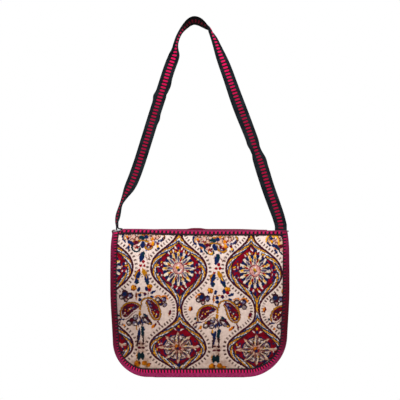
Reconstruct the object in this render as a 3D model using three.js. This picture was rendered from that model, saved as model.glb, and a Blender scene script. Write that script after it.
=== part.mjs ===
import * as THREE from 'three';

const { smoothstep, degToRad, clamp, lerp } = THREE.MathUtils;

// Sizes are in millimetres. Z is up, the flap faces -Y, and the bag hangs by its strap from the origin.
// Places on the bag are given by side, across from its middle, and drop, down from the flap's top edge.
const gap = 0.4;

const bag = {
  middle: 10,
  top: -352,
  backFace: 30,
  wall: 1.8,
};

const flap = {
  drop: 247,
  halfTop: 147,
  belly: 3.5,
  bellyPower: 0.6,
  corner: 70,
  canvas: 2,
  edgeInset: 1.8,
  sideFall: 7,
  rollDepth: 11,
  rollWidth: 26,
  rollFrom: 20,
  rollFull: 95,
  wave: 1.2,
  wavePitch: 38,
  droopLeft: 6.7,
  droopRight: 2,
  droopFrom: 117,
  droopFull: 130,
  droopReach: 60,
};

// Side view of the flap's outer face: how far forward it lies at each drop.
const flapProfile = [
  { drop: 0, front: -8 },
  { drop: 4, front: -15 },
  { drop: 8.5, front: -20 },
  { drop: 17, front: -25 },
  { drop: 40, front: -31.5 },
  { drop: 95, front: -41 },
  { drop: 150, front: -40.5 },
  { drop: 200, front: -36.5 },
  { drop: 247, front: -32 },
];

const binding = {
  width: 14.5,
  backWidth: 9,
  cloth: 1.1,
  clear: 0.6,
  sideShare: 0.7,
  topShare: 0.58,
};

const pouch = {
  drop: 248,
  halfTop: 146.9,
  halfLow: 141.5,
  narrowFrom: 24,
  narrowTo: 62,
  corner: 70,
  frontTop: 18,
  gussetTop: 9,
  restGap: 2.8,
  edgeGap: 5.6,
  seam: 0.7,
  dent: 9,
};

// The back panel's cloth is carried over the top of the bag in a soft roll.
const roll = {
  half: 114,
  shoulderFrom: 23,
  shoulderTo: 8,
  middleY: 12,
  middleDrop: 11,
  deep: 18,
  high: 13.8,
  underBinding: 4.9,
  underCanvas: 2.7,
};

const strap = {
  width: 20,
  cloth: 1.6,
};

// The strap's middle line from the left ring over the hanging point to the right ring.
// At twist 0 or 180 degrees the strap is flat to the front, at 90 degrees it is edge on.
const strapRun = [
  { x: -131.1, y: 8, z: -341, twist: 90 },
  { x: -131.1, y: 8, z: -335, twist: 86 },
  { x: -130.5, y: 8, z: -327, twist: 66 },
  { x: -124.9, y: 8, z: -310, twist: 78 },
  { x: -117.9, y: 8, z: -296, twist: 54 },
  { x: -110.6, y: 8, z: -282.5, twist: 30 },
  { x: -104.3, y: 7, z: -269, twist: 12 },
  { x: -94.6, y: 7, z: -242, twist: 3 },
  { x: -81.6, y: 6, z: -201, twist: -4 },
  { x: -69.1, y: 5, z: -160.5, twist: 4 },
  { x: -55.9, y: 4, z: -120, twist: -2 },
  { x: -42.2, y: 2, z: -79.5, twist: -6 },
  { x: -34.8, y: 1, z: -59, twist: -16 },
  { x: -32.6, y: 0, z: -49, twist: -46 },
  { x: -31.4, y: 0, z: -39, twist: -66 },
  { x: -28.7, y: 0, z: -28.7, twist: -68 },
  { x: -23.4, y: 0, z: -18.6, twist: -63 },
  { x: -15.4, y: 0, z: -8.4, twist: -55 },
  { x: -7.2, y: 0, z: -1.2, twist: -49 },
  { x: 0, y: 0, z: 1.1, twist: -46 },
  { x: 8.4, y: 0, z: -1.2, twist: -52 },
  { x: 18, y: 0, z: -8.4, twist: -72 },
  { x: 26.3, y: 0, z: -17, twist: -98 },
  { x: 33, y: 0, z: -28.7, twist: -118 },
  { x: 39, y: 0, z: -44, twist: -132 },
  { x: 44.6, y: 0, z: -59.2, twist: -148 },
  { x: 52.5, y: 1, z: -79.5, twist: -168 },
  { x: 67, y: 2, z: -119.7, twist: -178 },
  { x: 82.4, y: 2, z: -160.3, twist: -184 },
  { x: 97.6, y: 3, z: -201, twist: -174 },
  { x: 103, y: 3, z: -216.3, twist: -146 },
  { x: 113, y: 4, z: -241.7, twist: -174 },
  { x: 126.4, y: 5, z: -282.6, twist: -182 },
  { x: 136.4, y: 5, z: -309.8, twist: -180 },
  { x: 143.4, y: 5.3, z: -330, twist: -180 },
  { x: 147.2, y: 5.3, z: -345, twist: -180 },
];

const wire = 1.6;
const ring = { corner: 2, across: 12 };
const ringLeft = { outer: [-136, -356.4], inner: [-124, -354.4], y: 8 };
const ringRight = { x: 147.5, z: -356, strapY: 8, tabY: 20 };

const tab = { cloth: 1.2, widthLeft: 20, leftEnd: -374.5, rightFrom: 138, rightTo: 152, rightEnd: -392 };

const crimson = { color: 0x7a1033, roughness: 0.85, metalness: 0 };
const canvasLook = { color: 0xe9d8c8, roughness: 0.9, metalness: 0 };
const ribbonLook = { color: 0x9c1648, roughness: 0.8, metalness: 0 };
const strapLook = { color: 0x1f2329, roughness: 0.8, metalness: 0 };
const metalLook = { color: 0xa8abb0, roughness: 0.3, metalness: 1 };

// A smooth value read from a table between its rows.
function readTable(rows, key, column, at) {
  const last = rows.length - 1;
  let row = 0;
  while (row < last - 1 && at > rows[row + 1][key]) row += 1;
  const slopeAt = (index) => {
    const before = rows[Math.max(index - 1, 0)];
    const after = rows[Math.min(index + 1, last)];
    return (after[column] - before[column]) / (after[key] - before[key]);
  };
  const span = rows[row + 1][key] - rows[row][key];
  const s = (at - rows[row][key]) / span;
  const from = rows[row][column];
  const to = rows[row + 1][column];
  const ease = s * s * (3 - 2 * s);
  const lead = s * (1 - s) * (1 - s) * span * slopeAt(row);
  const trail = s * s * (s - 1) * span * slopeAt(row + 1);
  return from + (to - from) * ease + lead + trail;
}

// A closed body from its corner points and faces, turned so that its faces look outward.
function closedBody(points, faces) {
  const flat = [];
  for (const point of points) flat.push(point.x, point.y, point.z);
  let volume = 0;
  const normal = new THREE.Vector3();
  for (const [a, b, c] of faces) {
    normal.crossVectors(points[b], points[c]);
    volume += points[a].dot(normal);
  }
  const turned = volume < 0 ? faces.map(([a, b, c]) => [a, c, b]) : faces;
  const body = new THREE.BufferGeometry();
  body.setAttribute('position', new THREE.Float32BufferAttribute(flat, 3));
  body.setIndex(turned.flat());
  body.computeVertexNormals();
  return body;
}

// A cloth wall between two matching grids of points.
function clothWall(outer, inner) {
  const rows = outer.length;
  const columns = outer[0].length;
  const points = [...outer.flat(), ...inner.flat()];
  const faces = [];
  const front = (row, column) => row * columns + column;
  const back = (row, column) => rows * columns + row * columns + column;
  const addQuad = (a, b, c, d) => faces.push([a, b, c], [a, c, d]);
  for (let r = 0; r < rows - 1; r += 1) {
    for (let c = 0; c < columns - 1; c += 1) {
      addQuad(front(r, c), front(r, c + 1), front(r + 1, c + 1), front(r + 1, c));
      addQuad(back(r, c), back(r + 1, c), back(r + 1, c + 1), back(r, c + 1));
    }
  }
  for (let r = 0; r < rows - 1; r += 1) {
    addQuad(front(r, 0), front(r + 1, 0), back(r + 1, 0), back(r, 0));
    const end = columns - 1;
    addQuad(front(r, end), back(r, end), back(r + 1, end), front(r + 1, end));
  }
  for (let c = 0; c < columns - 1; c += 1) {
    addQuad(front(0, c), back(0, c), back(0, c + 1), front(0, c + 1));
    const end = rows - 1;
    addQuad(front(end, c), front(end, c + 1), back(end, c + 1), back(end, c));
  }
  return closedBody(points, faces);
}

// A body through a row of matching sections, either closed to a loop or capped at both ends.
function loft(sections, looped) {
  const around = sections[0].length;
  const count = sections.length;
  const points = sections.flat();
  const faces = [];
  const steps = looped ? count : count - 1;
  for (let k = 0; k < steps; k += 1) {
    const here = k * around;
    const next = ((k + 1) % count) * around;
    for (let p = 0; p < around; p += 1) {
      const q = (p + 1) % around;
      faces.push([here + p, next + p, next + q], [here + p, next + q, here + q]);
    }
  }
  if (!looped) {
    const end = (count - 1) * around;
    for (let p = 1; p < around - 1; p += 1) {
      faces.push([0, p, p + 1], [end, end + p + 1, end + p]);
    }
  }
  return closedBody(points, faces);
}

// A flat band of cloth swept through stations that each give a place and the band's width direction.
function band(stations, width, thickness) {
  const sections = stations.map((station, index) => {
    const before = stations[Math.max(index - 1, 0)].place;
    const after = stations[Math.min(index + 1, stations.length - 1)].place;
    const way = after.clone().sub(before).normalize();
    const across = station.across.clone().addScaledVector(way, -station.across.dot(way)).normalize();
    const through = new THREE.Vector3().crossVectors(way, across);
    const cornerAt = (a, b) =>
      station.place.clone().addScaledVector(across, a * width / 2).addScaledVector(through, b * thickness / 2);
    return [cornerAt(-1, -1), cornerAt(1, -1), cornerAt(1, 1), cornerAt(-1, 1)];
  });
  return loft(sections, false);
}

// Half the flap's width at a drop, before its lower corners are rounded.
function flapHalf(drop) {
  const share = clamp(drop / flap.drop, 0, 1);
  return flap.halfTop + flap.belly * Math.sin(Math.PI * share ** flap.bellyPower);
}

// Half the width of an outline with rounded lower corners, drawn in by an inset.
function roundedHalf(half, bottom, corner, drop, inset) {
  const below = Math.max(drop - (bottom - corner), 0);
  const radius = corner - inset;
  return half - corner + Math.sqrt(Math.max(radius * radius - below * below, 0));
}

// How far inside the flap's outline a place lies, and how much of that edge is a side edge.
function flapInside(side, drop) {
  const half = flapHalf(drop);
  const out = Math.abs(side) - (half - flap.corner);
  const below = drop - (flap.drop - flap.corner);
  if (out <= 0) return { depth: flap.drop, sideward: 0 };
  if (below <= 0) return { depth: half - Math.abs(side), sideward: 1 };
  const reach = Math.hypot(out, below);
  return { depth: flap.corner - reach, sideward: (out / reach) ** 2 };
}

// The top edge sags at its free corners.
function flapSag(side, drop) {
  const corner = side < 0 ? flap.droopLeft : flap.droopRight;
  const outward = smoothstep(Math.abs(side), flap.droopFrom, flap.droopFull);
  return corner * outward * (1 - smoothstep(drop, 0, flap.droopReach));
}

function flapFront(side, drop) {
  const settle = smoothstep(drop, flap.rollFrom, flap.rollFull);
  const { depth, sideward } = flapInside(side, drop);
  const nearEdge = Math.max(0, 1 - depth / flap.rollWidth);
  const rolledBack = flap.rollDepth * nearEdge * nearEdge * sideward;
  const fallen = flap.sideFall * Math.abs(side / flap.halfTop) ** 3;
  const waved = flap.wave * Math.sin(side / flap.wavePitch + 0.6) * Math.sin(Math.PI * drop / flap.drop);
  return readTable(flapProfile, 'drop', 'front', drop) + settle * (rolledBack + fallen) + waved;
}

function flapPoint(side, drop) {
  const height = bag.top - drop - flapSag(side, drop);
  return new THREE.Vector3(bag.middle + side, flapFront(side, drop), height);
}

// A point a given height above the flap's outer face.
function flapAt(side, drop, height) {
  const step = 0.6;
  const acrossWay = flapPoint(side + step, drop).sub(flapPoint(side - step, drop));
  const downWay = flapPoint(side, drop + step).sub(flapPoint(side, drop - step));
  const outward = new THREE.Vector3().crossVectors(downWay, acrossWay).normalize();
  return flapPoint(side, drop).addScaledVector(outward, height);
}

// Columns run from -1 to 1 and lie closer together near the sides.
function columnShares(count) {
  const shares = [];
  for (let c = 0; c <= count; c += 1) shares.push(Math.sin((c / count - 0.5) * Math.PI));
  return shares;
}

// Rows from a top drop to a rounded bottom.
function rowDrops(firstRows, bottom, corner, straightRows, cornerRows) {
  const drops = [...firstRows];
  const start = firstRows[firstRows.length - 1];
  const bend = bottom - corner;
  for (let r = 1; r <= straightRows; r += 1) drops.push(lerp(start, bend, r / straightRows));
  for (let r = 1; r <= cornerRows; r += 1) drops.push(bend + corner * Math.sin(Math.PI / 2 * r / cornerRows));
  return drops;
}

const flapColumns = columnShares(26);
const flapRows = rowDrops([0, 2, 4.5, 8.5, 13, 19, 27], flap.drop, flap.corner, 8, 8);

function makeFlap() {
  const grid = (height) => flapRows.map((row) => {
    const low = flap.drop - flap.edgeInset;
    const drop = lerp(flap.edgeInset * binding.topShare, low, row / flap.drop);
    const half = roundedHalf(flapHalf(drop), flap.drop, flap.corner, drop, flap.edgeInset);
    return flapColumns.map((share) => flapAt(half * share, drop, height));
  });
  return clothWall(grid(0), grid(-flap.canvas));
}

// Stations round the flap's edge; each gives the place on the flap for a distance in from the edge.
function bindingStations() {
  const stations = [];
  const cornerTop = flap.drop - flap.corner;
  const reach = binding.width * binding.sideShare + 0.8;
  const sideDrops = flapRows.filter((drop) => drop > 12 && drop < cornerTop - 1);
  const topSides = flapColumns.map((share) => share * (flap.halfTop - flap.edgeInset));
  const innerSides = topSides.filter((side) => Math.abs(side) < flap.halfTop - reach);
  const sideAt = (sign, drop) => (inset) => [sign * (flapHalf(drop) - inset * binding.sideShare), drop];
  const topCorner = (sign, share) => (inset) => {
    const drop = lerp(inset * binding.topShare, sideDrops[0], share);
    return [sign * (flapHalf(drop) - inset * binding.sideShare), drop];
  };
  const lowCorner = (sign, turn) => (inset) => {
    const share = 1 - (1 - binding.sideShare) * Math.cos(turn) ** 2;
    const radius = flap.corner - inset * share;
    const drop = cornerTop + radius * Math.sin(turn);
    return [sign * (flapHalf(drop) - flap.corner + radius * Math.cos(turn)), drop];
  };
  const turns = [];
  for (let k = 0; k <= 8; k += 1) turns.push(Math.PI / 2 * k / 8);
  const bottomHalf = flapHalf(flap.drop) - flap.corner;
  for (const side of innerSides) stations.push((inset) => [side, inset * binding.topShare]);
  for (const share of [0, 0.25, 0.55]) stations.push(topCorner(1, share));
  for (const drop of sideDrops) stations.push(sideAt(1, drop));
  for (const turn of turns) stations.push(lowCorner(1, turn));
  for (let k = 1; k < 8; k += 1) {
    const side = lerp(bottomHalf, -bottomHalf, k / 8);
    stations.push((inset) => [side, flap.drop - inset]);
  }
  for (const turn of turns.slice().reverse()) stations.push(lowCorner(-1, turn));
  for (const drop of sideDrops.slice().reverse()) stations.push(sideAt(-1, drop));
  for (const share of [0.55, 0.25, 0]) stations.push(topCorner(-1, share));
  return stations;
}

// The ribbon's folded section: distance in from the edge and height above the canvas.
function bindingSection() {
  const over = binding.clear;
  const under = -flap.canvas - binding.clear;
  const fold = flap.edgeInset - binding.clear;
  const third = binding.width * 0.37;
  const twoThirds = binding.width * 0.69;
  const middle = binding.backWidth * 0.55;
  return [
    [binding.width, over],
    [binding.width, over + binding.cloth],
    [twoThirds, over + binding.cloth],
    [third, over + binding.cloth],
    [fold, over + binding.cloth],
    [0, over],
    [0, under],
    [fold, under - binding.cloth],
    [middle, under - binding.cloth],
    [binding.backWidth, under - binding.cloth],
    [binding.backWidth, under],
    [middle, under],
    [fold, under],
    [fold, over],
    [third, over],
    [twoThirds, over],
  ];
}

function makeBinding() {
  const section = bindingSection();
  const sections = bindingStations().map((station) => section.map(([inset, height]) => {
    const [side, drop] = station(inset);
    return flapAt(side, drop, height);
  }));
  return loft(sections, true);
}

function pouchHalf(drop) {
  const narrowed = smoothstep(drop, pouch.narrowFrom, pouch.narrowTo);
  return lerp(pouch.halfTop, pouch.halfLow, narrowed);
}

// The front panel lies just behind the flap, further back near its own edges.
function frontFace(side, drop) {
  const half = pouchHalf(drop);
  const out = Math.max(Math.abs(side) - (half - pouch.corner), 0);
  const below = Math.max(drop - (pouch.drop - pouch.corner), 0);
  const depth = pouch.corner - Math.hypot(out, below);
  const nearEdge = 1 - smoothstep(depth, 8, 44);
  const nearTop = 1 - smoothstep(drop, 30, 66);
  const behind = lerp(pouch.restGap, pouch.edgeGap, Math.max(nearEdge, nearTop));
  let level = drop;
  for (let pass = 0; pass < 5; pass += 1) level = drop - flapSag(side, level);
  const steepDown = (flapFront(side, level + 1) - flapFront(side, level - 1)) / 2;
  const steepAcross = (flapFront(side + 1, level) - flapFront(side - 1, level)) / 2;
  return flapFront(side, level) + behind * Math.hypot(1, steepDown, steepAcross);
}

function makeFrontPanel() {
  const rows = rowDrops([pouch.frontTop, 24, 32], pouch.drop, pouch.corner, 8, 8);
  const columns = columnShares(16);
  const grid = (depth) => rows.map((drop) => {
    const half = roundedHalf(pouchHalf(drop), pouch.drop, pouch.corner, drop, 0);
    return columns.map((share) => {
      const side = half * share;
      return new THREE.Vector3(bag.middle + side, frontFace(side, drop) + depth, bag.top - drop);
    });
  });
  return clothWall(grid(0), grid(bag.wall));
}

// Stations along the pouch's outline from its left top, round the bottom, to its right top.
function pouchOutline() {
  const bend = pouch.drop - pouch.corner;
  const half = [];
  const sideDrops = [pouch.gussetTop, 16, 24, 33, 43, 54, 66, 82, 100, 118, 136, 154, 167];
  for (const drop of sideDrops) half.push({ side: pouchHalf(drop), drop, out: [1, 0] });
  for (let k = 0; k <= 8; k += 1) {
    const turn = Math.PI / 2 * k / 8;
    const out = [Math.cos(turn), Math.sin(turn)];
    half.push({
      side: pouch.halfLow - pouch.corner + pouch.corner * out[0],
      drop: bend + pouch.corner * out[1],
      out,
    });
  }
  half.push({ side: 36, drop: pouch.drop, out: [0, 1] });
  const right = half.slice().reverse();
  const left = half.map(({ side, drop, out }) => ({ side: -side, drop, out: [-out[0], out[1]] }));
  return [...left, { side: 0, drop: pouch.drop, out: [0, 1] }, ...right];
}

// The gusset's sides are folded in softly between the panels.
function gussetDent(drop, share) {
  const along = smoothstep(drop, 34, 90) * (1 - smoothstep(drop, 105, 172));
  return pouch.dent * along * (1 - (2 * share - 1) ** 2);
}

function makeGusset() {
  const back = bag.backFace - bag.wall - gap;
  const shares = [0, 0.2, 0.4, 0.6, 0.8, 1];
  const grid = (depth) => pouchOutline().map(({ side, drop, out }) => {
    const front = frontFace(side, drop) + bag.wall + pouch.seam;
    return shares.map((share) => {
      const inward = depth + gussetDent(drop, share);
      return new THREE.Vector3(
        bag.middle + side - out[0] * inward,
        lerp(front, back, share),
        bag.top - drop + out[1] * inward,
      );
    });
  });
  return clothWall(grid(0), grid(bag.wall));
}

// Rows of the back panel from its bottom, up the flat back, over the roll and down behind the flap.
function backRows() {
  const rows = [];
  const flatDrops = rowDrops([roll.shoulderFrom, 36, 50, 64], pouch.drop, pouch.corner, 6, 8).reverse();
  for (const drop of flatDrops) {
    const half = roundedHalf(pouchHalf(drop), pouch.drop, pouch.corner, drop, 0);
    rows.push({ y: bag.backFace, z: bag.top - drop, half });
  }
  for (const drop of [19, 15.5, roll.middleDrop]) {
    const narrowed = 1 - smoothstep(drop, roll.shoulderTo, roll.shoulderFrom);
    rows.push({ y: bag.backFace, z: bag.top - drop, half: lerp(pouch.halfTop, roll.half, narrowed) });
  }
  for (const turn of [20, 42, 64, 86, 108]) {
    const angle = degToRad(turn);
    rows.push({
      y: roll.middleY + roll.deep * Math.cos(angle),
      z: bag.top - roll.middleDrop + roll.high * Math.sin(angle),
      half: roll.half,
    });
  }
  const behindFlap = [
    { drop: 0.5, under: roll.underBinding },
    { drop: 3.5, under: roll.underBinding },
    { drop: 6.5, under: roll.underBinding - 0.4 },
    { drop: 10.5, under: roll.underCanvas },
    { drop: 15.5, under: roll.underCanvas },
  ];
  for (const { drop, under } of behindFlap) {
    const place = flapAt(0, drop, -under);
    rows.push({ y: place.y, z: place.z, half: roll.half });
  }
  return rows;
}

function makeBackPanel() {
  const rows = backRows();
  const columns = columnShares(10);
  const grid = (depth) => rows.map((row, index) => {
    const before = rows[Math.max(index - 1, 0)];
    const after = rows[Math.min(index + 1, rows.length - 1)];
    const way = new THREE.Vector2(after.y - before.y, after.z - before.z).normalize();
    return columns.map((share) => {
      const side = row.half * share;
      const waved = row.y < 0 ? flapFront(side, 8) - flapFront(0, 8) : 0;
      return new THREE.Vector3(bag.middle + side, row.y - way.y * depth + waved, row.z + way.x * depth);
    });
  });
  return clothWall(grid(0), grid(bag.wall));
}

// Places along an arc in a plane given by two coordinates.
function arcPlaces(centre, radius, fromTurn, toTurn, count) {
  const places = [];
  for (let k = 0; k <= count; k += 1) {
    const angle = degToRad(lerp(fromTurn, toTurn, k / count));
    places.push([centre[0] + radius * Math.cos(angle), centre[1] + radius * Math.sin(angle)]);
  }
  return places;
}

// The strap is folded round each ring's bar and its end is sewn back against itself.
const strapBend = wire + gap + strap.cloth / 2;
const sewnStep = strap.cloth + gap;

function strapLeftEnd() {
  const { inner, y } = ringLeft;
  const main = strapRun[0].x;
  const tail = main + sewnStep;
  const over = inner[1] + strapBend;
  const under = inner[1] - strapBend;
  const places = [
    [tail, -339],
    [tail, over + 2.8],
    ...arcPlaces([tail + 2.8, over + 2.8], 2.8, 205, 270, 3),
    ...arcPlaces(inner, strapBend, 90, -90, 8),
    ...arcPlaces([main + 4, under + 4], 4, 270, 180, 5),
  ];
  return places.map(([x, z]) => ({
    place: new THREE.Vector3(x, y, z),
    across: new THREE.Vector3(0, 1, 0),
  }));
}

function strapRightEnd() {
  const { x, z, strapY } = ringRight;
  const front = strapY - strapBend;
  const places = [
    [front, -350],
    [front, -353],
    ...arcPlaces([strapY, z], strapBend, 180, 360, 8),
    [strapY + strapBend - 0.4, z + 2.5],
    [front + sewnStep + 1, z + 7],
    [front + sewnStep, z + 9.5],
    [front + sewnStep, z + 12],
  ];
  return places.map(([y, height]) => ({
    place: new THREE.Vector3(x, y, height),
    across: new THREE.Vector3(-1, 0, 0),
  }));
}

function makeStrap() {
  const run = strapRun.map((row, index) => ({ ...row, index }));
  const line = new THREE.CatmullRomCurve3(run.map(({ x, y, z }) => new THREE.Vector3(x, y, z)));
  const perRow = 3;
  const count = (run.length - 1) * perRow;
  const stations = [];
  for (let k = 0; k <= count; k += 1) {
    const place = line.getPoint(k / count);
    const way = line.getTangent(k / count);
    const inPlane = new THREE.Vector3(-way.z, 0, way.x).normalize();
    const twist = degToRad(readTable(run, 'index', 'twist', k / perRow));
    const across = inPlane.multiplyScalar(Math.cos(twist)).add(new THREE.Vector3(0, Math.sin(twist), 0));
    stations.push({ place, across });
  }
  return band([...strapLeftEnd(), ...stations, ...strapRightEnd()], strap.width, strap.cloth);
}

// A rectangular wire ring in the plane of two directions.
function makeRing(centre, first, second, firstHalf, secondHalf) {
  const upright = new THREE.Vector3().crossVectors(first, second).normalize();
  const sections = [];
  for (let corner = 0; corner < 4; corner += 1) {
    const signs = [[1, 1], [-1, 1], [-1, -1], [1, -1]][corner];
    for (let k = 0; k <= 3; k += 1) {
      const angle = Math.PI / 2 * (corner + k / 3);
      const outward = first.clone().multiplyScalar(Math.cos(angle)).addScaledVector(second, Math.sin(angle));
      const place = centre.clone()
        .addScaledVector(first, signs[0] * (firstHalf - ring.corner))
        .addScaledVector(second, signs[1] * (secondHalf - ring.corner))
        .addScaledVector(outward, ring.corner);
      const section = [];
      for (let p = 0; p < 8; p += 1) {
        const turn = Math.PI / 4 * (p + 0.5);
        section.push(place.clone()
          .addScaledVector(outward, wire * Math.cos(turn))
          .addScaledVector(upright, wire * Math.sin(turn)));
      }
      sections.push(section);
    }
  }
  return loft(sections, true);
}

function makeRingLeft() {
  const { outer, inner, y } = ringLeft;
  const first = new THREE.Vector3(inner[0] - outer[0], 0, inner[1] - outer[1]);
  const half = first.length() / 2;
  const centre = new THREE.Vector3((inner[0] + outer[0]) / 2, y, (inner[1] + outer[1]) / 2);
  return makeRing(centre, first.normalize(), new THREE.Vector3(0, 1, 0), half, ring.across);
}

function makeRingRight() {
  const { x, z, strapY, tabY } = ringRight;
  const centre = new THREE.Vector3(x, (strapY + tabY) / 2, z);
  const half = (tabY - strapY) / 2;
  return makeRing(centre, new THREE.Vector3(1, 0, 0), new THREE.Vector3(0, 1, 0), ring.across, half);
}

const tabBend = wire + gap + tab.cloth / 2;

// The left tab straddles the top edge of the gusset and holds the ring's outer bar.
function makeTabLeft() {
  const { outer, y } = ringLeft;
  const outerLeg = bag.middle - pouch.halfTop - gap - tab.cloth / 2;
  const innerLeg = bag.middle - pouch.halfTop + bag.wall + gap + tab.cloth / 2;
  const legTop = outer[1] - tabBend - 0.6;
  const places = [
    [outerLeg, tab.leftEnd],
    [outerLeg, legTop],
    ...arcPlaces(outer, tabBend, 200, -20, 10),
    [innerLeg, legTop],
    [innerLeg, tab.leftEnd],
  ];
  const stations = places.map(([x, z]) => ({
    place: new THREE.Vector3(x, y, z),
    across: new THREE.Vector3(0, 1, 0),
  }));
  return band(stations, tab.widthLeft, tab.cloth);
}

// The right tab is sewn flat inside the back panel and holds the ring's rear bar.
function makeTabRight() {
  const { z, tabY } = ringRight;
  const backLeg = bag.backFace - bag.wall - gap - tab.cloth / 2;
  const frontLeg = backLeg - tab.cloth - gap;
  const places = [
    [backLeg, tab.rightEnd],
    [backLeg, z - 13],
    [backLeg - 0.8, z - 9],
    ...arcPlaces([tabY, z], tabBend, 40, 220, 8),
    [frontLeg - 1.6, z - 10.5],
    [frontLeg, z - 15],
    [frontLeg, tab.rightEnd],
  ];
  const x = (tab.rightFrom + tab.rightTo) / 2;
  const stations = places.map(([y, height]) => ({
    place: new THREE.Vector3(x, y, height),
    across: new THREE.Vector3(1, 0, 0),
  }));
  return band(stations, tab.rightTo - tab.rightFrom, tab.cloth);
}

const crossbodyBag = new THREE.Group();
crossbodyBag.name = 'crossbody_bag';

function addPiece(name, shape, look) {
  const piece = new THREE.Mesh(shape, new THREE.MeshStandardMaterial(look));
  piece.name = name;
  crossbodyBag.add(piece);
}

addPiece('flap', makeFlap(), canvasLook);
addPiece('flap_binding', makeBinding(), ribbonLook);
addPiece('back_panel', makeBackPanel(), crimson);
addPiece('front_panel', makeFrontPanel(), crimson);
addPiece('gusset', makeGusset(), crimson);
addPiece('strap', makeStrap(), strapLook);
addPiece('ring_left', makeRingLeft(), metalLook);
addPiece('ring_right', makeRingRight(), metalLook);
addPiece('ring_tab_left', makeTabLeft(), crimson);
addPiece('ring_tab_right', makeTabRight(), crimson);

export default crossbodyBag;
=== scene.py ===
import math

import bmesh
import bpy
import numpy as np
from mathutils import Matrix, Vector


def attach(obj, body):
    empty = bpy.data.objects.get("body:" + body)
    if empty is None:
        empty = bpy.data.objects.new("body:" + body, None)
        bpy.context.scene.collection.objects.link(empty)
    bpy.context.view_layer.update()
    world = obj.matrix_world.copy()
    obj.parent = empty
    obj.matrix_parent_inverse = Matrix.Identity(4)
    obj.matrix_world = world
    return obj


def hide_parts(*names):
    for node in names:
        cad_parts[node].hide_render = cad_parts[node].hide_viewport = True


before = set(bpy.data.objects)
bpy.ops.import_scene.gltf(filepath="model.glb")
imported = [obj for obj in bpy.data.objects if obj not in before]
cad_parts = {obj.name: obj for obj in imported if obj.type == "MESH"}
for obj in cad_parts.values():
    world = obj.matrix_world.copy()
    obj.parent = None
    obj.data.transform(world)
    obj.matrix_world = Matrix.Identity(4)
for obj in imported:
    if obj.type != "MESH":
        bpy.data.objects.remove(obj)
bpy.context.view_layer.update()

scene = bpy.context.scene
mm = 0.001
print("frame loaded:", len(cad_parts), "nodes")


# shared small tools

def lerp(low, high, share):
    return low + (high - low) * share


def smoothStep(value, low, high):
    share = np.clip((np.asarray(value, float) - low) / (high - low), 0, 1)
    return share * share * (3 - 2 * share)


# a smooth value through rows of (place, value)
def readTable(rows, at):
    table = np.array(rows, float)
    places, values = table[:, 0], table[:, 1]
    at = np.asarray(at, float)
    last = len(places) - 1
    count = np.arange(last + 1)
    before, after = np.maximum(count - 1, 0), np.minimum(count + 1, last)
    slopes = (values[after] - values[before]) / (places[after] - places[before])
    row = np.clip(np.searchsorted(places, at) - 1, 0, last - 1)
    span = places[row + 1] - places[row]
    share = (at - places[row]) / span
    ease = share * share * (3 - 2 * share)
    lead = share * (1 - share) ** 2 * span * slopes[row]
    trail = share * share * (share - 1) * span * slopes[row + 1]
    return values[row] + (values[row + 1] - values[row]) * ease + lead + trail


# a flat grid whose points carry shares from 0 to 1 across and up
def clothGrid(columns, rows):
    bm = bmesh.new()
    bmesh.ops.create_grid(bm, x_segments=columns, y_segments=rows, size=0.5)
    bm.verts.index_update()
    shares = np.array([vert.co[:2] for vert in bm.verts]) + 0.5
    return bm, shares[:, 0], shares[:, 1]


# moves the grid's points to their places, in mm, and lays the cloth's own map on it
def layCloth(bm, places, along, across):
    for vert, place in zip(bm.verts, np.asarray(places) * mm):
        vert.co = place
    layer = bm.loops.layers.uv.new("cloth")
    for face in bm.faces:
        for loop in face.loops:
            spot = loop.vert.index
            loop[layer].uv = (along[spot], across[spot])


# two crossed waves, each a row of pitch across, pitch down and shift
def crossWaves(across, down, waves):
    first, second = (np.sin(across / wide + down / tall + shift) for wide, tall, shift in waves)
    return first * second


# turns the cloth so that its face nearest a place on the bag's middle line looks the given way
def turnTo(bm, y, drop, way):
    bm.normal_update()
    spot = Vector((bag["middle"], y, bag["top"] - drop)) * mm
    near = min(bm.faces, key=lambda face: (face.calc_center_median() - spot).length_squared)
    if near.normal.dot(Vector(way)) < 0:
        bmesh.ops.reverse_faces(bm, faces=bm.faces[:])


def closeSeams(bm, reach=0.02):
    bmesh.ops.remove_doubles(bm, verts=bm.verts[:], dist=reach * mm)


def toMesh(name, bm):
    mesh = bpy.data.meshes.new(name)
    bm.to_mesh(mesh)
    bm.free()
    return mesh


def joinMesh(bm, mesh):
    bm.from_mesh(mesh)
    bpy.data.meshes.remove(mesh)


# a piece's points, in mm
def pointsOf(piece):
    return np.array([vert.co for vert in piece.data.vertices]) / mm


# one number for each point of a piece, for its look to read
def keepField(piece, name, values):
    layer = piece.data.attributes.new(name, "FLOAT", "POINT")
    layer.data.foreach_set("value", values.astype(np.float32))


def addPiece(name, bm, looks, nodes, wall=0, offset=-1):
    mesh = toMesh(name, bm)
    mesh.shade_smooth()
    for look in looks:
        mesh.materials.append(look)
    piece = bpy.data.objects.new(name, mesh)
    scene.collection.objects.link(piece)
    if wall:
        thick = piece.modifiers.new("wall", "SOLIDIFY")
        thick.thickness = wall * mm
        thick.offset = offset
    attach(piece, "root")
    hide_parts(*nodes)
    return piece


# node shorthand

def linear(red, green, blue):
    shares = [channel / 255 for channel in (red, green, blue)]
    return tuple(s / 12.92 if s < 0.04045 else ((s + 0.055) / 1.055) ** 2.4 for s in shares) + (1,)


def newLook(name):
    look = bpy.data.materials.new(name)
    look.use_nodes = True
    return look, look.node_tree, look.node_tree.nodes["Principled BSDF"]


# a socket takes another's value, a number, or a tint of 0 to 255
def feed(tree, socket, value):
    if isinstance(value, bpy.types.NodeSocket):
        tree.links.new(value, socket)
    elif isinstance(value, tuple):
        socket.default_value = linear(*value)
    else:
        socket.default_value = value


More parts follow.
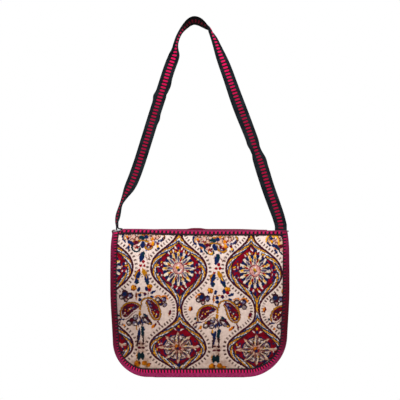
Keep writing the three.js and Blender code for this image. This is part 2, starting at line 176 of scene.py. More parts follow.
def sums(tree, operation, *values, clamp=False):
    node = tree.nodes.new("ShaderNodeMath")
    node.operation = operation
    node.use_clamp = clamp
    for socket, value in zip(node.inputs, values):
        feed(tree, socket, value)
    return node.outputs[0]


def mixed(tree, share, first, second, blend="MIX"):
    node = tree.nodes.new("ShaderNodeMix")
    node.data_type = "RGBA"
    node.blend_type = blend
    feed(tree, node.inputs[0], share)
    feed(tree, node.inputs[6], first)
    feed(tree, node.inputs[7], second)
    return node.outputs[2]


# 0 below low, 1 above high, and the other way round where high is the smaller
def ramp(tree, value, low, high, bottom=0.0, top=1.0):
    node = tree.nodes.new("ShaderNodeMapRange")
    sockets = ("Value", "From Min", "From Max", "To Min", "To Max")
    for socket, amount in zip(sockets, (value, low, high, bottom, top)):
        feed(tree, node.inputs[socket], amount)
    return node.outputs[0]


# 1 inside a band of values, with soft edges
def between(tree, value, low, high, soft):
    rise = ramp(tree, value, low - soft, low + soft)
    fall = ramp(tree, value, high + soft, high - soft)
    return sums(tree, "MULTIPLY", rise, fall)


def noise(tree, where, scale, detail=3.0, rough=0.55):
    node = tree.nodes.new("ShaderNodeTexNoise")
    feed(tree, node.inputs["Vector"], where)
    feed(tree, node.inputs["Scale"], scale)
    feed(tree, node.inputs["Detail"], detail)
    feed(tree, node.inputs["Roughness"], rough)
    return node.outputs[0]


# a noise of some scale and detail, put through a ramp
def patches(tree, where, scale, detail, *span):
    return ramp(tree, noise(tree, where, scale, detail), *span)


def objectPlace(tree):
    return tree.nodes.new("ShaderNodeTexCoord").outputs["Object"]


def heightOf(tree, place):
    parts = tree.nodes.new("ShaderNodeSeparateXYZ")
    tree.links.new(place, parts.inputs[0])
    return parts.outputs[2]


def clothMap(tree):
    node = tree.nodes.new("ShaderNodeUVMap")
    node.uv_map = "cloth"
    parts = tree.nodes.new("ShaderNodeSeparateXYZ")
    tree.links.new(node.outputs[0], parts.inputs[0])
    return parts.outputs[0], parts.outputs[1]


def attribute(tree, name):
    node = tree.nodes.new("ShaderNodeAttribute")
    node.attribute_name = name
    return node.outputs["Fac"]


def bump(tree, shader, height, depth, strength):
    node = tree.nodes.new("ShaderNodeBump")
    feed(tree, node.inputs["Height"], height)
    feed(tree, node.inputs["Distance"], depth * mm)
    feed(tree, node.inputs["Strength"], strength)
    tree.links.new(node.outputs[0], shader.inputs["Normal"])


# a sine from 0 to 1 that repeats every pitch
def thread(tree, value, pitch, shift=0.0):
    turned = sums(tree, "MULTIPLY_ADD", value, 2 * math.pi / pitch, shift)
    return sums(tree, "MULTIPLY_ADD", sums(tree, "SINE", turned), 0.5, 0.5)


# a place from 0 to 1 inside each repeat
def repeat(tree, value, pitch):
    return sums(tree, "FRACT", sums(tree, "DIVIDE", value, pitch))


# a row of stitches at one place across, each a share of the pitch along
def stitches(tree, across, at, half, along, pitch):
    start, end, soft = 0.2, 0.8, 0.06
    inRow = between(tree, across, at - half, at + half, half / 3)
    return sums(tree, "MULTIPLY", inRow, between(tree, repeat(tree, along, pitch), start, end, soft))


# colour, roughness as a pattern goes, shine and bump, by the look's own dictionary
def finishLook(tree, shader, sizes, colour, pattern, height):
    feed(tree, shader.inputs["Base Color"], colour)
    feed(tree, shader.inputs["Roughness"], ramp(tree, pattern, *sizes["rough"]))
    feed(tree, shader.inputs["Specular IOR Level"], sizes["shine"])
    bump(tree, shader, height, *sizes["bump"])


# the bag's shape, in mm, given by side from its middle and drop from the flap's top edge

bag = {"middle": 10, "top": -352, "backFace": 30, "wall": 1.8, "gap": 0.4}

flap = {
    "drop": 247, "halfTop": 147, "canvas": 2, "edgeInset": 1.8, "belly": 3.1, "bellyPower": 0.6,
    "taper": 2.4, "taperFrom": 100, "taperFull": 195, "corner": 70, "cornerLeft": 56.5, "cornerRight": 66,
    "sideFall": 7, "fallPower": 3, "rollDepth": 11, "rollWidth": 26, "rollFrom": 20, "rollFull": 95,
    "wave": 1.2, "wavePitch": 38, "waveShift": 0.6,
    "droopLeft": 6.2, "droopFrom": 127.5, "droopFull": 136, "droopReach": 40,
    "droopRight": 2.7, "droopRightFrom": -115, "droopRightFull": 0,
    "ripple": 0.45, "ripples": [(21, 37, 0), (-52, 26, 1.3)], "rippleDown": (15, 60),
    "columns": 312, "rows": 284, "backColumns": 60, "backRows": 52,
}

# how far forward the flap's face lies at each drop
flapProfile = [
    (0, -8), (4, -15), (8.5, -20), (17, -25), (40, -31.5), (95, -41), (150, -40.5), (200, -36.5),
    (247, -32),
]


def flapHalf(drop):
    share = np.clip(drop / flap["drop"], 0, 1)
    tapered = flap["taper"] * smoothStep(drop, flap["taperFrom"], flap["taperFull"])
    return flap["halfTop"] + flap["belly"] * np.sin(math.pi * share ** flap["bellyPower"]) - tapered


def roundedHalf(half, bottom, corner, drop, inset):
    below = np.maximum(drop - (bottom - corner), 0)
    radius = corner - inset
    return half - corner + np.sqrt(np.maximum(radius * radius - below * below, 0))


# the outline's lower corners, tighter than the roll behind them
def cornerAt(way):
    return np.where(np.asarray(way) < 0, flap["cornerLeft"], flap["cornerRight"])


def flapSag(side, drop):
    left = flap["droopLeft"] * smoothStep(-side, flap["droopFrom"], flap["droopFull"])
    right = flap["droopRight"] * smoothStep(side, flap["droopRightFrom"], flap["droopRightFull"])
    return (left + right) * (1 - smoothStep(drop, 0, flap["droopReach"]))


def flapFront(side, drop):
    half = flapHalf(drop)
    out = np.abs(side) - (half - flap["corner"])
    below = drop - (flap["drop"] - flap["corner"])
    reach = np.maximum(np.hypot(out, below), 1e-6)
    inCorner = (out > 0) & (below > 0)
    depth = np.where(inCorner, flap["corner"] - reach, np.where(out > 0, half - np.abs(side), flap["drop"]))
    sideward = np.where(inCorner, (out / reach) ** 2, np.where(out > 0, 1.0, 0.0))
    nearEdge = np.maximum(0, 1 - depth / flap["rollWidth"])
    rolledBack = flap["rollDepth"] * nearEdge * nearEdge * sideward
    fallen = flap["sideFall"] * np.abs(side / flap["halfTop"]) ** flap["fallPower"]
    settle = smoothStep(drop, flap["rollFrom"], flap["rollFull"])
    rocked = np.sin(side / flap["wavePitch"] + flap["waveShift"])
    waved = flap["wave"] * rocked * np.sin(math.pi * drop / flap["drop"])
    return readTable(flapProfile, drop) + settle * (rolledBack + fallen) + waved


def flapPoint(side, drop):
    height = bag["top"] - drop - flapSag(side, drop)
    return np.stack([bag["middle"] + side, flapFront(side, drop), height], axis=-1)


# a point some height above the flap's outer face
def flapAt(side, drop, height):
    side, drop = np.asarray(side, float), np.asarray(drop, float)
    step = 0.6
    acrossWay = flapPoint(side + step, drop) - flapPoint(side - step, drop)
    downWay = flapPoint(side, drop + step) - flapPoint(side, drop - step)
    outward = np.cross(downWay, acrossWay)
    outward /= np.linalg.norm(outward, axis=-1, keepdims=True)
    return flapPoint(side, drop) + outward * np.asarray(height)[..., None]


# the block print, charted in squares: across from the flap's middle, down from its top edge
printChart = {
    "square": 1.667, "top": 0.4, "leafEnds": 0.22, "bare": 9.0,
    "spraySpan": 37, "sprayClear": -1.0, "medallionReach": 27,  # where sprays and medallions may print
    "wobble": 0.26, "wobbleSecond": 0.7, "wobbleOgee": 0.5,
    "wanderAcross": (1.9, 2.1, 0.83, 2.3, 0.7), "wanderDown": (1.7, 1.9, 0.91, 2.1, -0.6),
    "soilDown": (94, 118), "soilLow": (122, 136), "soilReach": (5, 16),
    "order": [
        ("plum", (56, 22, 30)), ("mustard", (182, 118, 6)), ("petal", (212, 170, 146)),
        ("cream", (236, 213, 182)), ("brown", (118, 56, 38)), ("grey", (140, 124, 120)),
        ("maroon", (88, 0, 30)), ("orange", (214, 118, 6)), ("red", (142, 0, 22)),
        ("pink", (216, 156, 146)), ("white", (236, 222, 216)), ("lavender", (104, 99, 134)),
        ("navy", (12, 30, 78)), ("teal", (8, 42, 54)), ("yellow", (234, 166, 20)), ("line", (50, 22, 26)),
    ],
}

# half the width of an ogee at each square down
ogeeHalf = [
    (0, 1.9), (4, 2.3), (8, 3.6), (11, 5.3), (16, 10.3), (21, 16.4), (26, 22), (31, 25.7), (36, 27.6),
    (41, 28.1), (46, 27.1), (51, 24.2), (56, 19.7), (61, 13.8), (66, 8), (71, 4.3), (76, 2.7), (80, 2.5),
    (86, 3.2), (91, 5.6), (96, 10.6), (101, 16.4), (106, 22.2), (111, 26.3), (116, 28.2), (121, 28),
    (126, 25.6), (131, 20.2), (136, 11.8), (141, 5.5), (148, 2.5),
]

# each column of ogees: its wandering axis, how far down it is shifted, and its two medallions
ogeeColumns = [
    {"axis": [(0, -94.9), (150, -94.9)], "down": -2, "rosette": (-94.9, 38, 1), "pinwheel": (-94.9, 116)},
    {"axis": [(0, -20.2), (21, -22), (41, -21), (61, -19.5), (80, -20.4), (92, -19.6), (112, -22.2),
              (122, -21.6), (150, -20.4)],
     "down": 0, "rosette": (-21.4, 39.3, 0), "pinwheel": (-21.9, 118.3)},
    {"axis": [(0, 52), (20, 51.4), (41, 54), (61, 56.6), (80, 57.1), (92, 57.6), (112, 55.2), (122, 55.9),
              (150, 57)],
     "down": 2, "rosette": (55.1, 41.7, 1), "pinwheel": (56.6, 121)},
]

# each column of sprays between the ogees: its axis, shift down, stretch to the left and the right, how far
# it leans aside at each square down, and marks of its own
sprayColumns = [
    {"axis": -58.2, "down": 0.7, "left": 1.0, "right": 1.0, "lean": [(0, 0), (150, 0)], "own": {}},
    {
        "axis": 16.7, "down": 3.5, "left": 1.02, "right": 1.1,
        "lean": [(0, -3.4), (12, -3.4), (24, 0), (48, 0.4), (57, 2), (90, 2.2), (104, 0.6), (150, 0)],
        "own": {
            "yellow": {
                "leaves": [(-5.4, 98.6, 4, 1.2, -20)],
                "strokes": [(1.2, [(-7.4, 20.6), (-5.2, 21.6), (-3, 20.4)])],
            },
            "mustard": {"dots": [(-7.4, 86.2, 1.5), (-13, 90, 1.3), (-17.4, 94.4, 1.5)]},
            "orange": {"strokes": [(1.5, [(-22.6, 64.8), (-21, 62.2), (-18.4, 61.4)])]},
            "navy": {"leaves": [(-5, 101.2, 5.4, 2.4, -24)]},
        },
    },
    {
        "axis": 91.7, "down": 4.5, "left": 1.0, "right": 1.0,
        "lean": [(0, -4.6), (12, -4.6), (24, 0), (150, 0)],
        "own": {
            "yellow": {
                "dots": [(-7.4, 10.6, 1.2), (-14.6, 8.2, 0.9)],
                "strokes": [
                    (1.5, [(-20.3, 8.4), (-19.6, 4.6), (-17.2, 2.2), (-14.4, 2), (-12.6, 4)]),
                    (1.4, [(-12, 2), (-9.6, 3.6), (-8, 6.4), (-7.6, 8.6)]),
                ],
            },
            "navy": {"dots": [(-15.2, 5.4, 1.6)]},
        },
    },
]

# the two boteh: outlines and fills, from a spray's axis
botehLeft = [
    (-20.6, 88), (-21.4, 84.4), (-20.8, 80.4), (-18.8, 76.8), (-15.6, 74.2), (-11.6, 72.8), (-7.6, 72.8),
    (-4.2, 74), (-1.8, 75.8), (-1.2, 78),
]
botehLeftUnder = [(-20.6, 88), (-18.4, 89.6), (-15.2, 89.2), (-12, 87), (-9, 84), (-5.4, 81.6)]
botehLeftFill = [
    (-2.6, 76.8), (-5.4, 74.8), (-9, 73.6), (-13, 73.8), (-16.5, 75.5), (-18.9, 78.6), (-20, 82.6),
    (-19.5, 85.8), (-17.6, 87.6), (-15, 87.4), (-12.4, 85.4), (-10, 82.8), (-7.4, 80.6), (-4.6, 79.2),
]
botehRight = [
    (-0.2, 74.8), (-0.2, 72), (1.8, 69.4), (5.4, 68), (9.4, 68.4), (12.9, 70.8), (15.9, 74.4), (17.9, 78.8),
    (18.9, 83), (18.5, 86.6), (17.2, 89),
]
botehRightUnder = [
    (4.6, 72.6), (6.2, 76.2), (7.2, 79.8), (8.4, 83.4), (10.2, 87), (12.9, 89.4), (16.6, 89.6),
]
botehRightFill = [
    (4.4, 70.6), (8.4, 69.8), (12.3, 72), (15.5, 75.8), (17.6, 80.4), (18, 84.6), (16.4, 87.9),
    (12.8, 88.2), (10.9, 85.4), (9.5, 81.8), (8.3, 77.8), (6.6, 74.4), (4.6, 72.2),
]
scrollLeft = [(-9.8, 15.4), (-9.8, 18.6), (-8.2, 21), (-5.4, 22), (-2.8, 21), (-1.8, 18.8)]
scrollRight = [(2.8, 14), (3.2, 17), (5.2, 19.4), (8, 19.6), (10.2, 18)]
peonyArch = [(-3, 11.4), (0, 10.8), (3, 11.2), (6, 12.4), (9, 13.8)]

# the peony's petals: across, down, radius of the dark edge and of the petal
peonyPetals = [
    (-12.5, 8.2, 3.2, 2.5), (-8.4, 7.2, 3.2, 2.5), (-5.4, 9.6, 2.8, 2.1), (-10.6, 11.2, 2.4, 1.7),
    (8.6, 8.4, 2.8, 2.1), (12, 7.2, 2.8, 2.1), (15.2, 7.6, 2.6, 1.9), (17.6, 6, 2, 1.3),
    (-2.4, 6, 2.4, 1.6), (2.6, 9, 2.4, 1.6), (6.4, 9.6, 2.3, 1.6), (-15.4, 6.2, 2, 1.3),
    (11.6, 11.4, 2, 1.3), (8, 12, 1.9, 1.2), (-10.5, 3.2, 2.5, 1.8), (-6.4, 2.8, 2.4, 1.7),
    (6.6, 2.8, 2.4, 1.7), (12.6, 3, 2.4, 1.7), (16.8, 3, 2.2, 1.5), (-14, 3, 2.2, 1.5),
]

# one spray, by ink: leaves (across, down, length, width, lean), dots (across, down, radius),
# strokes (width, points) and filled shapes (points)
spray = {
    "plum": {
        "leaves": [
            (5.4, 90.8, 12, 6, -55), (4.4, 86, 7, 2.8, -50), (-6.2, 88, 8, 6, 30), (-0.9, 91.6, 7, 2.2, 4),
        ],
        "dots": [
            (-16.8, 63, 3.2), (-20, 67.2, 2.8), (-11.6, 65.8, 3.3), (-15.6, 69.8, 2.6), (-15.8, 66.2, 2.6),
            (16.2, 69.6, 2.9), (22.2, 69.2, 3), (19.2, 73.4, 2.4), (23, 74.6, 2.7), (19.4, 70.6, 2),
            (-12.6, 93.2, 3), (-6.8, 93.4, 3.2), (-10, 90, 2.4), (-3.4, 12.2, 1.8), (-6.6, 15.6, 2.8),
            (10.4, 14.2, 2.9), (7.2, 15.8, 2.6), (-5, 18.4, 2), (-1.4, 2.4, 2),
            *[(across, down, edge) for across, down, edge, _ in peonyPetals],
        ],
        "strokes": [
            (2, botehLeft), (2, botehRight), (1.8, botehRightUnder), (2.2, scrollRight), (2, peonyArch),
            (1.8, [(21, 4.6), (22.6, 6.4), (22, 9.4), (20, 11.6)]),
        ],
    },
    "mustard": {
        "leaves": [
            (-4.7, 44.9, 9.4, 4.2, 18), (-1.6, 79, 3.8, 2.4, -20), (-1.9, 84, 5.6, 3.2, 0),
            (27.6, 83.8, 4.8, 2.4, 14), (-4.8, 126, 6.4, 1.6, 3), (-5, 98.4, 5, 1.6, -10),
            (0.5, 96, 4, 1.6, 0), (-2.9, 94.6, 5, 1.4, 4), (8, 93, 3.6, 2.6, -55), (2.9, 43, 9.4, 4.4, -26),
        ],
        "dots": [
            (-8, 58, 3), (8, 57, 3), (-4.6, 134.4, 3.4), (2.6, 133.6, 2.6), (6.4, 135.6, 2.3),
            (-8, 11.8, 1.1), (11.4, 11, 1.3), (18.5, 72.2, 1), (3.4, 5.2, 1.4), (-2.4, 2.4, 1.2),
            (4.4, 2, 1.4), (14.8, 2.2, 1.2), (-9, 12, 1), (0.6, 5.4, 1.1), (9.8, 5.2, 1), (-8.8, 4.6, 0.9),
        ],
        "strokes": [
            (1.1, botehLeft), (1.1, botehRight), (0.95, botehRightUnder), (1.1, peonyArch),
            (1.2, scrollRight), (1.2, [(-4, 64.2), (0, 62.8), (3, 63.2)]),
            (1, [(-17.4, 5), (-17.7, 8.4), (-16.4, 10.8)]), (1, [(21.6, 4.8), (22.2, 6.8), (21.6, 9.2)]),
            (1, [(-18.4, 4.6), (-17.6, 2.4), (-16, 1.4)]), (1.1, [(21.4, 4.8), (20.4, 2.6), (18.6, 1.6)]),
        ],
    },
    "petal": {"dots": [(across, down, radius) for across, down, _, radius in peonyPetals]},
    "brown": {
        "leaves": [
            (4.6, 28.2, 6, 1, -20), (-2.6, 25, 4, 0.9, 40), (-5.4, 66, 8.6, 1.8, 2), (-10.4, 6.4, 4, 1, 30),
            (-7.4, 9.6, 3.6, 1, -30), (-13.4, 10, 3.4, 1, -50), (9.8, 7.4, 3.6, 1, -40),
            (13.6, 8.6, 3.4, 1, 40), (17, 7.4, 3, 1, -30), (5.4, 8, 3, 1, 50), (-3.4, 8, 3, 1.2, 20),
            (-8.6, 3.2, 3.6, 1.1, 10), (-12.4, 3, 3.2, 1.1, -15), (9.2, 3, 3.6, 1.3, 15),
            (-3.8, 3.4, 3.2, 1.4, 0), (14.4, 4.6, 3, 1.1, 30), (-10.8, 9.4, 3.4, 1.2, 70),
            (-5.6, 11.4, 3.2, 1.3, 80), (10.4, 10.4, 3.2, 1.2, 60), (-15.2, 4.4, 3, 1, 20),
        ],
        "dots": [(-8, 13.2, 1.5), (-5.4, 12.6, 1.4), (5.6, 135, 1.2), (-6, 18.2, 1.3)],
        "strokes": [
            (0.8, [(-11.2, 5.4), (-11.8, 10.4)]), (0.8, [(-7, 4.8), (-6.8, 9.6)]),
            (0.8, [(13.6, 5), (13.8, 9.6)]), (0.8, [(16.4, 5.4), (17, 8.8)]), (0.8, botehLeftUnder),
            (0.8, [(-3.2, 121), (-3.4, 124)]), (0.8, [(1.6, 121), (1.6, 124)]),
            (0.7, [(6.6, 24), (7.8, 29)]),
        ],
    },
    "grey": {
        "leaves": [(5.2, 91.2, 8, 2.9, -55), (-6.2, 87.6, 5.4, 3.6, 30)],
        "dots": [
            (23, 74.6, 1.6), (-8.6, 95, 1), (-20, 67.2, 1.5), (-12.6, 93.2, 1.8), (-6.8, 93.4, 2),
            (16.2, 69.6, 1.7), (-15.6, 69.8, 1.4), (-13.4, 6.8, 0.9), (11, 5.6, 0.9), (-9.4, 8.4, 0.8),
        ],
    },
    "maroon": {
        "leaves": [
            (28.4, 82.4, 5.4, 3, 14), (13, 95.6, 5.6, 2.6, 34), (-1.7, 87.4, 3.6, 1.8, 2),
            (6.6, 64.2, 4, 1, 0), (-27.4, 76, 5.4, 3.2, 14), (-2.6, 113.8, 3.6, 2.1, 90),
            (1.4, 113.8, 3.6, 2.1, 90), (-2.6, 118, 4, 2.5, 90), (1.6, 118, 4, 2.5, 90),
        ],
        "dots": [
            (-14, 8.8, 1.3), (-6.4, 7.6, 1), (9.4, 6.4, 1), (15.8, 14.2, 1.6), (-6.4, 12.6, 1.7),
            (-4.6, 14, 1.6), (-2.8, 16.8, 1.2), (6.4, 15, 1.6), (8.6, 16.6, 1.3), (3.4, 64.2, 1.7),
            (-15.2, 67.8, 1), (19.2, 71.6, 1.4), (-9.8, 90.4, 1.4), (6, 88.6, 1.3), (-6.2, 56.6, 0.8),
            (-9.8, 60, 0.9), (-7.4, 60.2, 0.8), (10, 58.2, 0.9), (6.4, 55.2, 0.8), (-2.6, 133.4, 0.9),
            (-6.8, 136.2, 0.9), (8.4, 134.4, 1), (-22, 90.2, 1.3),
        ],
        "strokes": [(1.4, [(-23.6, 91.2), (-26, 94)]), (1.6, [(16.2, 91.4), (18.4, 95.2)])],
        "shapes": [botehLeftFill, botehRightFill],
    },
    "orange": {
        "leaves": [
            (11.4, 96.4, 5.2, 2.2, 34), (-28.6, 76, 4.6, 2.4, 14), (-4.8, 68, 3.6, 1.1, 8),
            (-6.4, 19.6, 3, 1.4, 60),
        ],
        "dots": [
            (-8.6, 57.4, 1.9), (7.4, 56.2, 1.9), (-5.4, 133.8, 2.2), (2.2, 133.2, 1.6), (6.8, 135.2, 1.4),
            (-15, 7.2, 1.2), (6.2, 4.8, 1.5), (10.8, 9.4, 1.7), (-12.4, 15.2, 1.4), (10.4, 13.8, 2.2),
            (-17.5, 95.6, 1.3), (-6.6, 58.8, 0.9), (-12.4, 79.6, 0.6), (-17, 84.2, 0.6), (11.4, 81.8, 0.6),
            (15.6, 79.4, 0.6), (10, 73, 0.6),
        ],
        "strokes": [
            (1.4, [(13.4, 67.2), (15.2, 65.8), (17.4, 65.8), (19, 67.2)]),
            (1.4, [(20.4, 66.6), (22.6, 65.6), (24.8, 66.6), (26.2, 69.4)]),
        ],
    },
    "red": {
        "leaves": [(14.2, 77, 7, 1.7, -30), (-10.8, 75.6, 6, 1.4, 75), (-16.4, 81.8, 4, 1.2, 25)],
        "dots": [
            (1.5, 32.1, 1.6), (-1, 36, 1.6), (2.8, 36, 1.5), (-2.4, 40.2, 1.4), (-9, 9.4, 0.9),
            (12.4, 9.8, 0.8), (2, 5.8, 0.9), (-4.4, 18.2, 1.2), (7.9, 60, 1.9), (16, 82.2, 1.2),
            (12.6, 84.4, 0.9), (-13, 84.6, 0.8),
        ],
    },
    "pink": {
        "leaves": [(-5.6, 15.6, 4, 1.8, 60), (8.6, 14.4, 3, 1.1, 50)],
        "dots": [
            (-7.6, 16.6, 1), (-12.4, 7, 1.1), (-8.4, 6, 1), (12.2, 6, 1), (15.6, 8.4, 0.9),
            (-15.4, 70.2, 0.8), (4.4, 89.4, 0.8),
        ],
    },
    "white": {
        "leaves": [
            (4.6, 90.4, 4, 1.1, -55), (-10.6, 5.2, 2.6, 0.8, 10), (-7.8, 7.4, 2.6, 0.8, 20),
            (13, 6.4, 2.4, 0.8, -20), (-12.4, 9.6, 2.4, 0.8, 40), (-6.6, 86.6, 2.4, 1, 30),
        ],
        "dots": [
            (-5.4, 20, 0.9), (-20.6, 67.8, 0.8), (-13.2, 67.6, 0.7), (16, 70, 0.9), (20.6, 68.6, 0.6),
            (-12.8, 92.8, 0.9), (-16.6, 83, 0.7), (-15, 85.6, 0.6), (-18, 85, 0.6), (-11.8, 79.2, 0.6),
            (10.8, 79.2, 0.6), (13, 81, 0.5), (15.2, 84.2, 0.7), (9, 12.4, 0.8), (-3.6, 15.4, 0.7),
            (-6, 94.4, 0.7), (6.6, 17.2, 0.6), (8.8, 74.6, 0.7),
        ],
    },
    "lavender": {
        "leaves": [
            (7.6, 72.6, 4, 1.6, -50), (9.2, 76.2, 2.8, 1.3, -30), (-8.2, 78.2, 4, 1.6, 65),
            (6.4, 91.8, 4, 1.1, -55),
        ],
        "dots": [
            (13.4, 12.6, 1.3), (17, 11.6, 1.2), (6.2, 18.2, 0.9), (4.6, 20.8, 1), (-11.4, 66, 1.6),
            (-17.6, 66, 0.8), (22.2, 69.8, 1.5), (-7.4, 93, 1.2), (-5.4, 88.8, 1), (3.2, 85.4, 0.8),
            (23.6, 75, 0.8),
        ],
    },
    "navy": {
        "leaves": [
            (0.2, 26.8, 11.2, 5, 17), (-3.5, 45.9, 9.4, 4.4, 18), (-4.8, 51.4, 6.6, 4.4, 22),
            (5.2, 49.8, 10.8, 4.5, -12), (-3, 59.6, 5.2, 3.3, 16), (4.9, 59, 5.2, 3.2, -6),
            (11.2, 62.2, 6.2, 2.7, 62), (10.2, 66.8, 4.2, 2.3, -75), (-13.4, 18.2, 5, 2.7, 5),
            (16.2, 18.8, 4.6, 2.6, 0), (0.8, 15.2, 7, 4.9, 8), (1.6, 98.6, 5.4, 2.8, -20),
            (-23.2, 94.6, 4.4, 2, -70), (-2.8, 105.4, 14, 3.3, 6), (-2.8, 93.2, 6.4, 1.9, 4),
            (0.6, 92, 6, 1.8, -12), (4, 85.4, 4.4, 1.6, -50),
        ],
        "dots": [
            (4.4, 7.3, 2.1), (-13.2, 12.2, 1.7), (-10.8, 13.4, 2.1), (-9.4, 14.8, 1.5), (16.4, 11.6, 0.9),
            (19.2, 11, 1.2), (-1.8, 65.2, 1.9), (3.4, 65.2, 1.2), (-1.8, 69.6, 1.9), (-17, 64.4, 2.1),
            (-11.4, 64.2, 0.9), (-5, 2.4, 1.2), (2.4, 2.2, 1.3), (-17.2, 3, 1.5), (23.8, 68.2, 0.8),
            (19, 74, 1.1), (-7.6, 87.4, 0.8), (2.4, 92.8, 1), (8.6, 74.6, 1.2), (-6, 77, 1.5),
            (-18.4, 82, 0.7), (14.4, 79.4, 0.7), (-15.4, 77.8, 0.8), (-10.4, 81.4, 0.7), (10.8, 75.4, 0.8),
            (16.2, 84.4, 0.7), (-14.6, 80.4, 0.6), (12.4, 80.6, 0.6), (-5.8, 92.6, 0.7), (6.2, 69.4, 0.8),
        ],
        "strokes": [
            (2, [(-19, 4.8), (-19.4, 7.8), (-18.4, 10.4), (-16.6, 12.2)]),
            (1.5, [(21.4, 8), (20.2, 10), (18.8, 11.6)]), (1.6, [(-18.2, 89.8), (-21.2, 89.6)]),
            (1.4, [(-7, 21.8), (-4, 22.2)]),
        ],
    },
    "teal": {
        "leaves": [
            (1.6, 24.4, 6, 2.8, 14), (1, 102.8, 15, 3, -5), (-2.8, 126.6, 8.6, 4.2, 3),
            (0.8, 126.6, 8.6, 4, -3), (-0.8, 7.8, 5.6, 3.8, 70), (1.4, 9, 4, 2.6, 60),
            (-4.2, 52.4, 3.6, 2.2, 22), (5.6, 52.6, 4.2, 2, -14),
        ],
        "dots": [(3.5, 85.6, 1), (-23.2, 86, 1.2), (-16, 64, 0.7)],
        "strokes": [(2, scrollLeft)],
    },
    "yellow": {
        "leaves": [(-3.4, 49.2, 2, 1.1, 40), (4.6, 46.6, 4.4, 1.1, -20)],
        "dots": [
            (15.8, 16.8, 1.1), (10.8, 13.2, 0.9), (-9, 57, 0.9), (7, 55.6, 0.9), (-5.8, 133, 0.9),
            (-10.4, 78.4, 0.6), (11.8, 85.2, 0.6), (-16.2, 80, 0.7), (-13.6, 81.2, 0.8), (14.2, 86, 0.9),
            (12.2, 83, 0.7), (8.6, 93.2, 1), (18.6, 72.4, 0.7),
        ],
    },
    "line": {
        "leaves": [
            (-13, 77.4, 4, 1, 60), (-17.8, 80.4, 4, 1, 20), (-8.6, 79.6, 3.6, 1, 50),
            (-12.2, 83, 4, 1.1, 40), (-15.6, 86, 3, 1, 60), (9.6, 71.8, 4, 1.1, -50),
            (13.4, 74.6, 4.4, 1.1, -40), (16.8, 80.6, 4.4, 1.1, -15), (11, 79, 4, 1, -25),
            (12.6, 86.4, 3.6, 1.1, -30), (16.4, 86.4, 3, 1.1, 10), (-6, 76.4, 3, 0.9, 70),
        ],
        "strokes": [
            (0.8, [(-0.6, 45.2), (1.2, 45.2)]), (0.8, [(-0.4, 47), (1.4, 47)]),
            (0.7, [(-8.4, 56.4), (-7.6, 60)]), (0.7, [(7.4, 55), (8.6, 58.6)]),
            (0.6, [(-12, 6.6), (-13, 9.6)]), (0.6, [(8, 6.8), (9, 9.8)]),
            (1.5, [(-3.6, 106), (-4.2, 110), (-4.4, 115)]), (1.5, [(1.2, 106), (1.6, 110), (1.6, 115)]),
            (1.3, [(1.8, 86.2), (5.4, 89.6), (9.2, 93)]), (0.6, [(-14.8, 77), (-17.4, 80.4)]),
            (0.6, [(12.8, 75.6), (15.4, 80)]),
        ],
    },
}


def discField(x, y, across, down, radius):
    return np.hypot(x - across, y - down) - radius


# a pointed leaf; lean is from upright, clockwise, in degrees
def leafField(x, y, across, down, length, width, lean):
    turn = math.radians(lean)
    overX, overY = x - across, y - down
    beside = np.abs(overX * math.cos(turn) + overY * math.sin(turn))
    lengthways = overY * math.cos(turn) - overX * math.sin(turn)
    ends = printChart["leafEnds"] * width
    length, width = length - 2 * ends, width - 2 * ends
    radius = (length * length + width * width) / (4 * width)
    return np.hypot(beside + radius - width / 2, lengthways) - radius - ends


def smoothLine(points, closed=False, steps=4):
    rows = [*points[-2:], *points, *points[:2]] if closed else list(points)
    index = np.arange(len(rows))
    first, last = (2, len(rows) - 2) if closed else (0, len(rows) - 1)
    at = np.linspace(first, last, (last - first) * steps + 1)
    return np.stack([readTable(list(zip(index, [p[k] for p in rows])), at) for k in (0, 1)], axis=-1)


# distance to a line of points, and how far along it the nearest place is
def lineField(x, y, line):
    best = np.full(x.shape, 1e9)
    along = np.zeros(x.shape)
    done = 0.0
    for (fromX, fromY), (toX, toY) in zip(line[:-1], line[1:]):
        length = max(math.hypot(toX - fromX, toY - fromY), 1e-9)
        wayX, wayY = (toX - fromX) / length, (toY - fromY) / length
        reach = np.clip((x - fromX) * wayX + (y - fromY) * wayY, 0, length)
        away = np.hypot(x - fromX - reach * wayX, y - fromY - reach * wayY)
        nearer = away < best
        best = np.where(nearer, away, best)
        along = np.where(nearer, done + reach, along)
        done += length
    return best, along


def shapeField(x, y, points):
    line = smoothLine(points, closed=True)
    away, _ = lineField(x, y, line)
    inside = np.zeros(x.shape, bool)
    for (fromX, fromY), (toX, toY) in zip(line[:-1], line[1:]):
        if fromY != toY:
            crosses = ((fromY > y) != (toY > y)) & (x < (toX - fromX) * (y - fromY) / (toY - fromY) + fromX)
            inside ^= crosses
    return np.where(inside, -away, away)


# lays marks, kept by ink, on the points they are near and where the cloth is clear
def layMarks(inks, near, x, y, marks, clear=-np.inf):
    for ink, kinds in marks.items():
        fields = [leafField(x, y, *row) for row in kinds.get("leaves", [])]
        fields += [discField(x, y, *row) for row in kinds.get("dots", [])]
        fields += [shapeField(x, y, points) for points in kinds.get("shapes", [])]
        for width, points in kinds.get("strokes", []):
            fields.append(lineField(x, y, smoothLine(points))[0] - width / 2)
        for field in fields:
            inks[ink][near] = np.minimum(inks[ink][near], np.maximum(field, clear))


def printSpray(inks, x, y, column, ogeeInside):
    near = np.abs(x - column["axis"]) < printChart["spraySpan"]
    lean = column["lean"]
    downY = y[near] - column["down"]
    overX = x[near] - column["axis"] - readTable(lean, np.clip(downY, lean[0][0], lean[-1][0]))
    overX = overX / np.where(overX > 0, column["right"], column["left"])
    for marks in (spray, column["own"]):
        layMarks(inks, near, overX, downY, marks, ogeeInside[near] - printChart["sprayClear"])


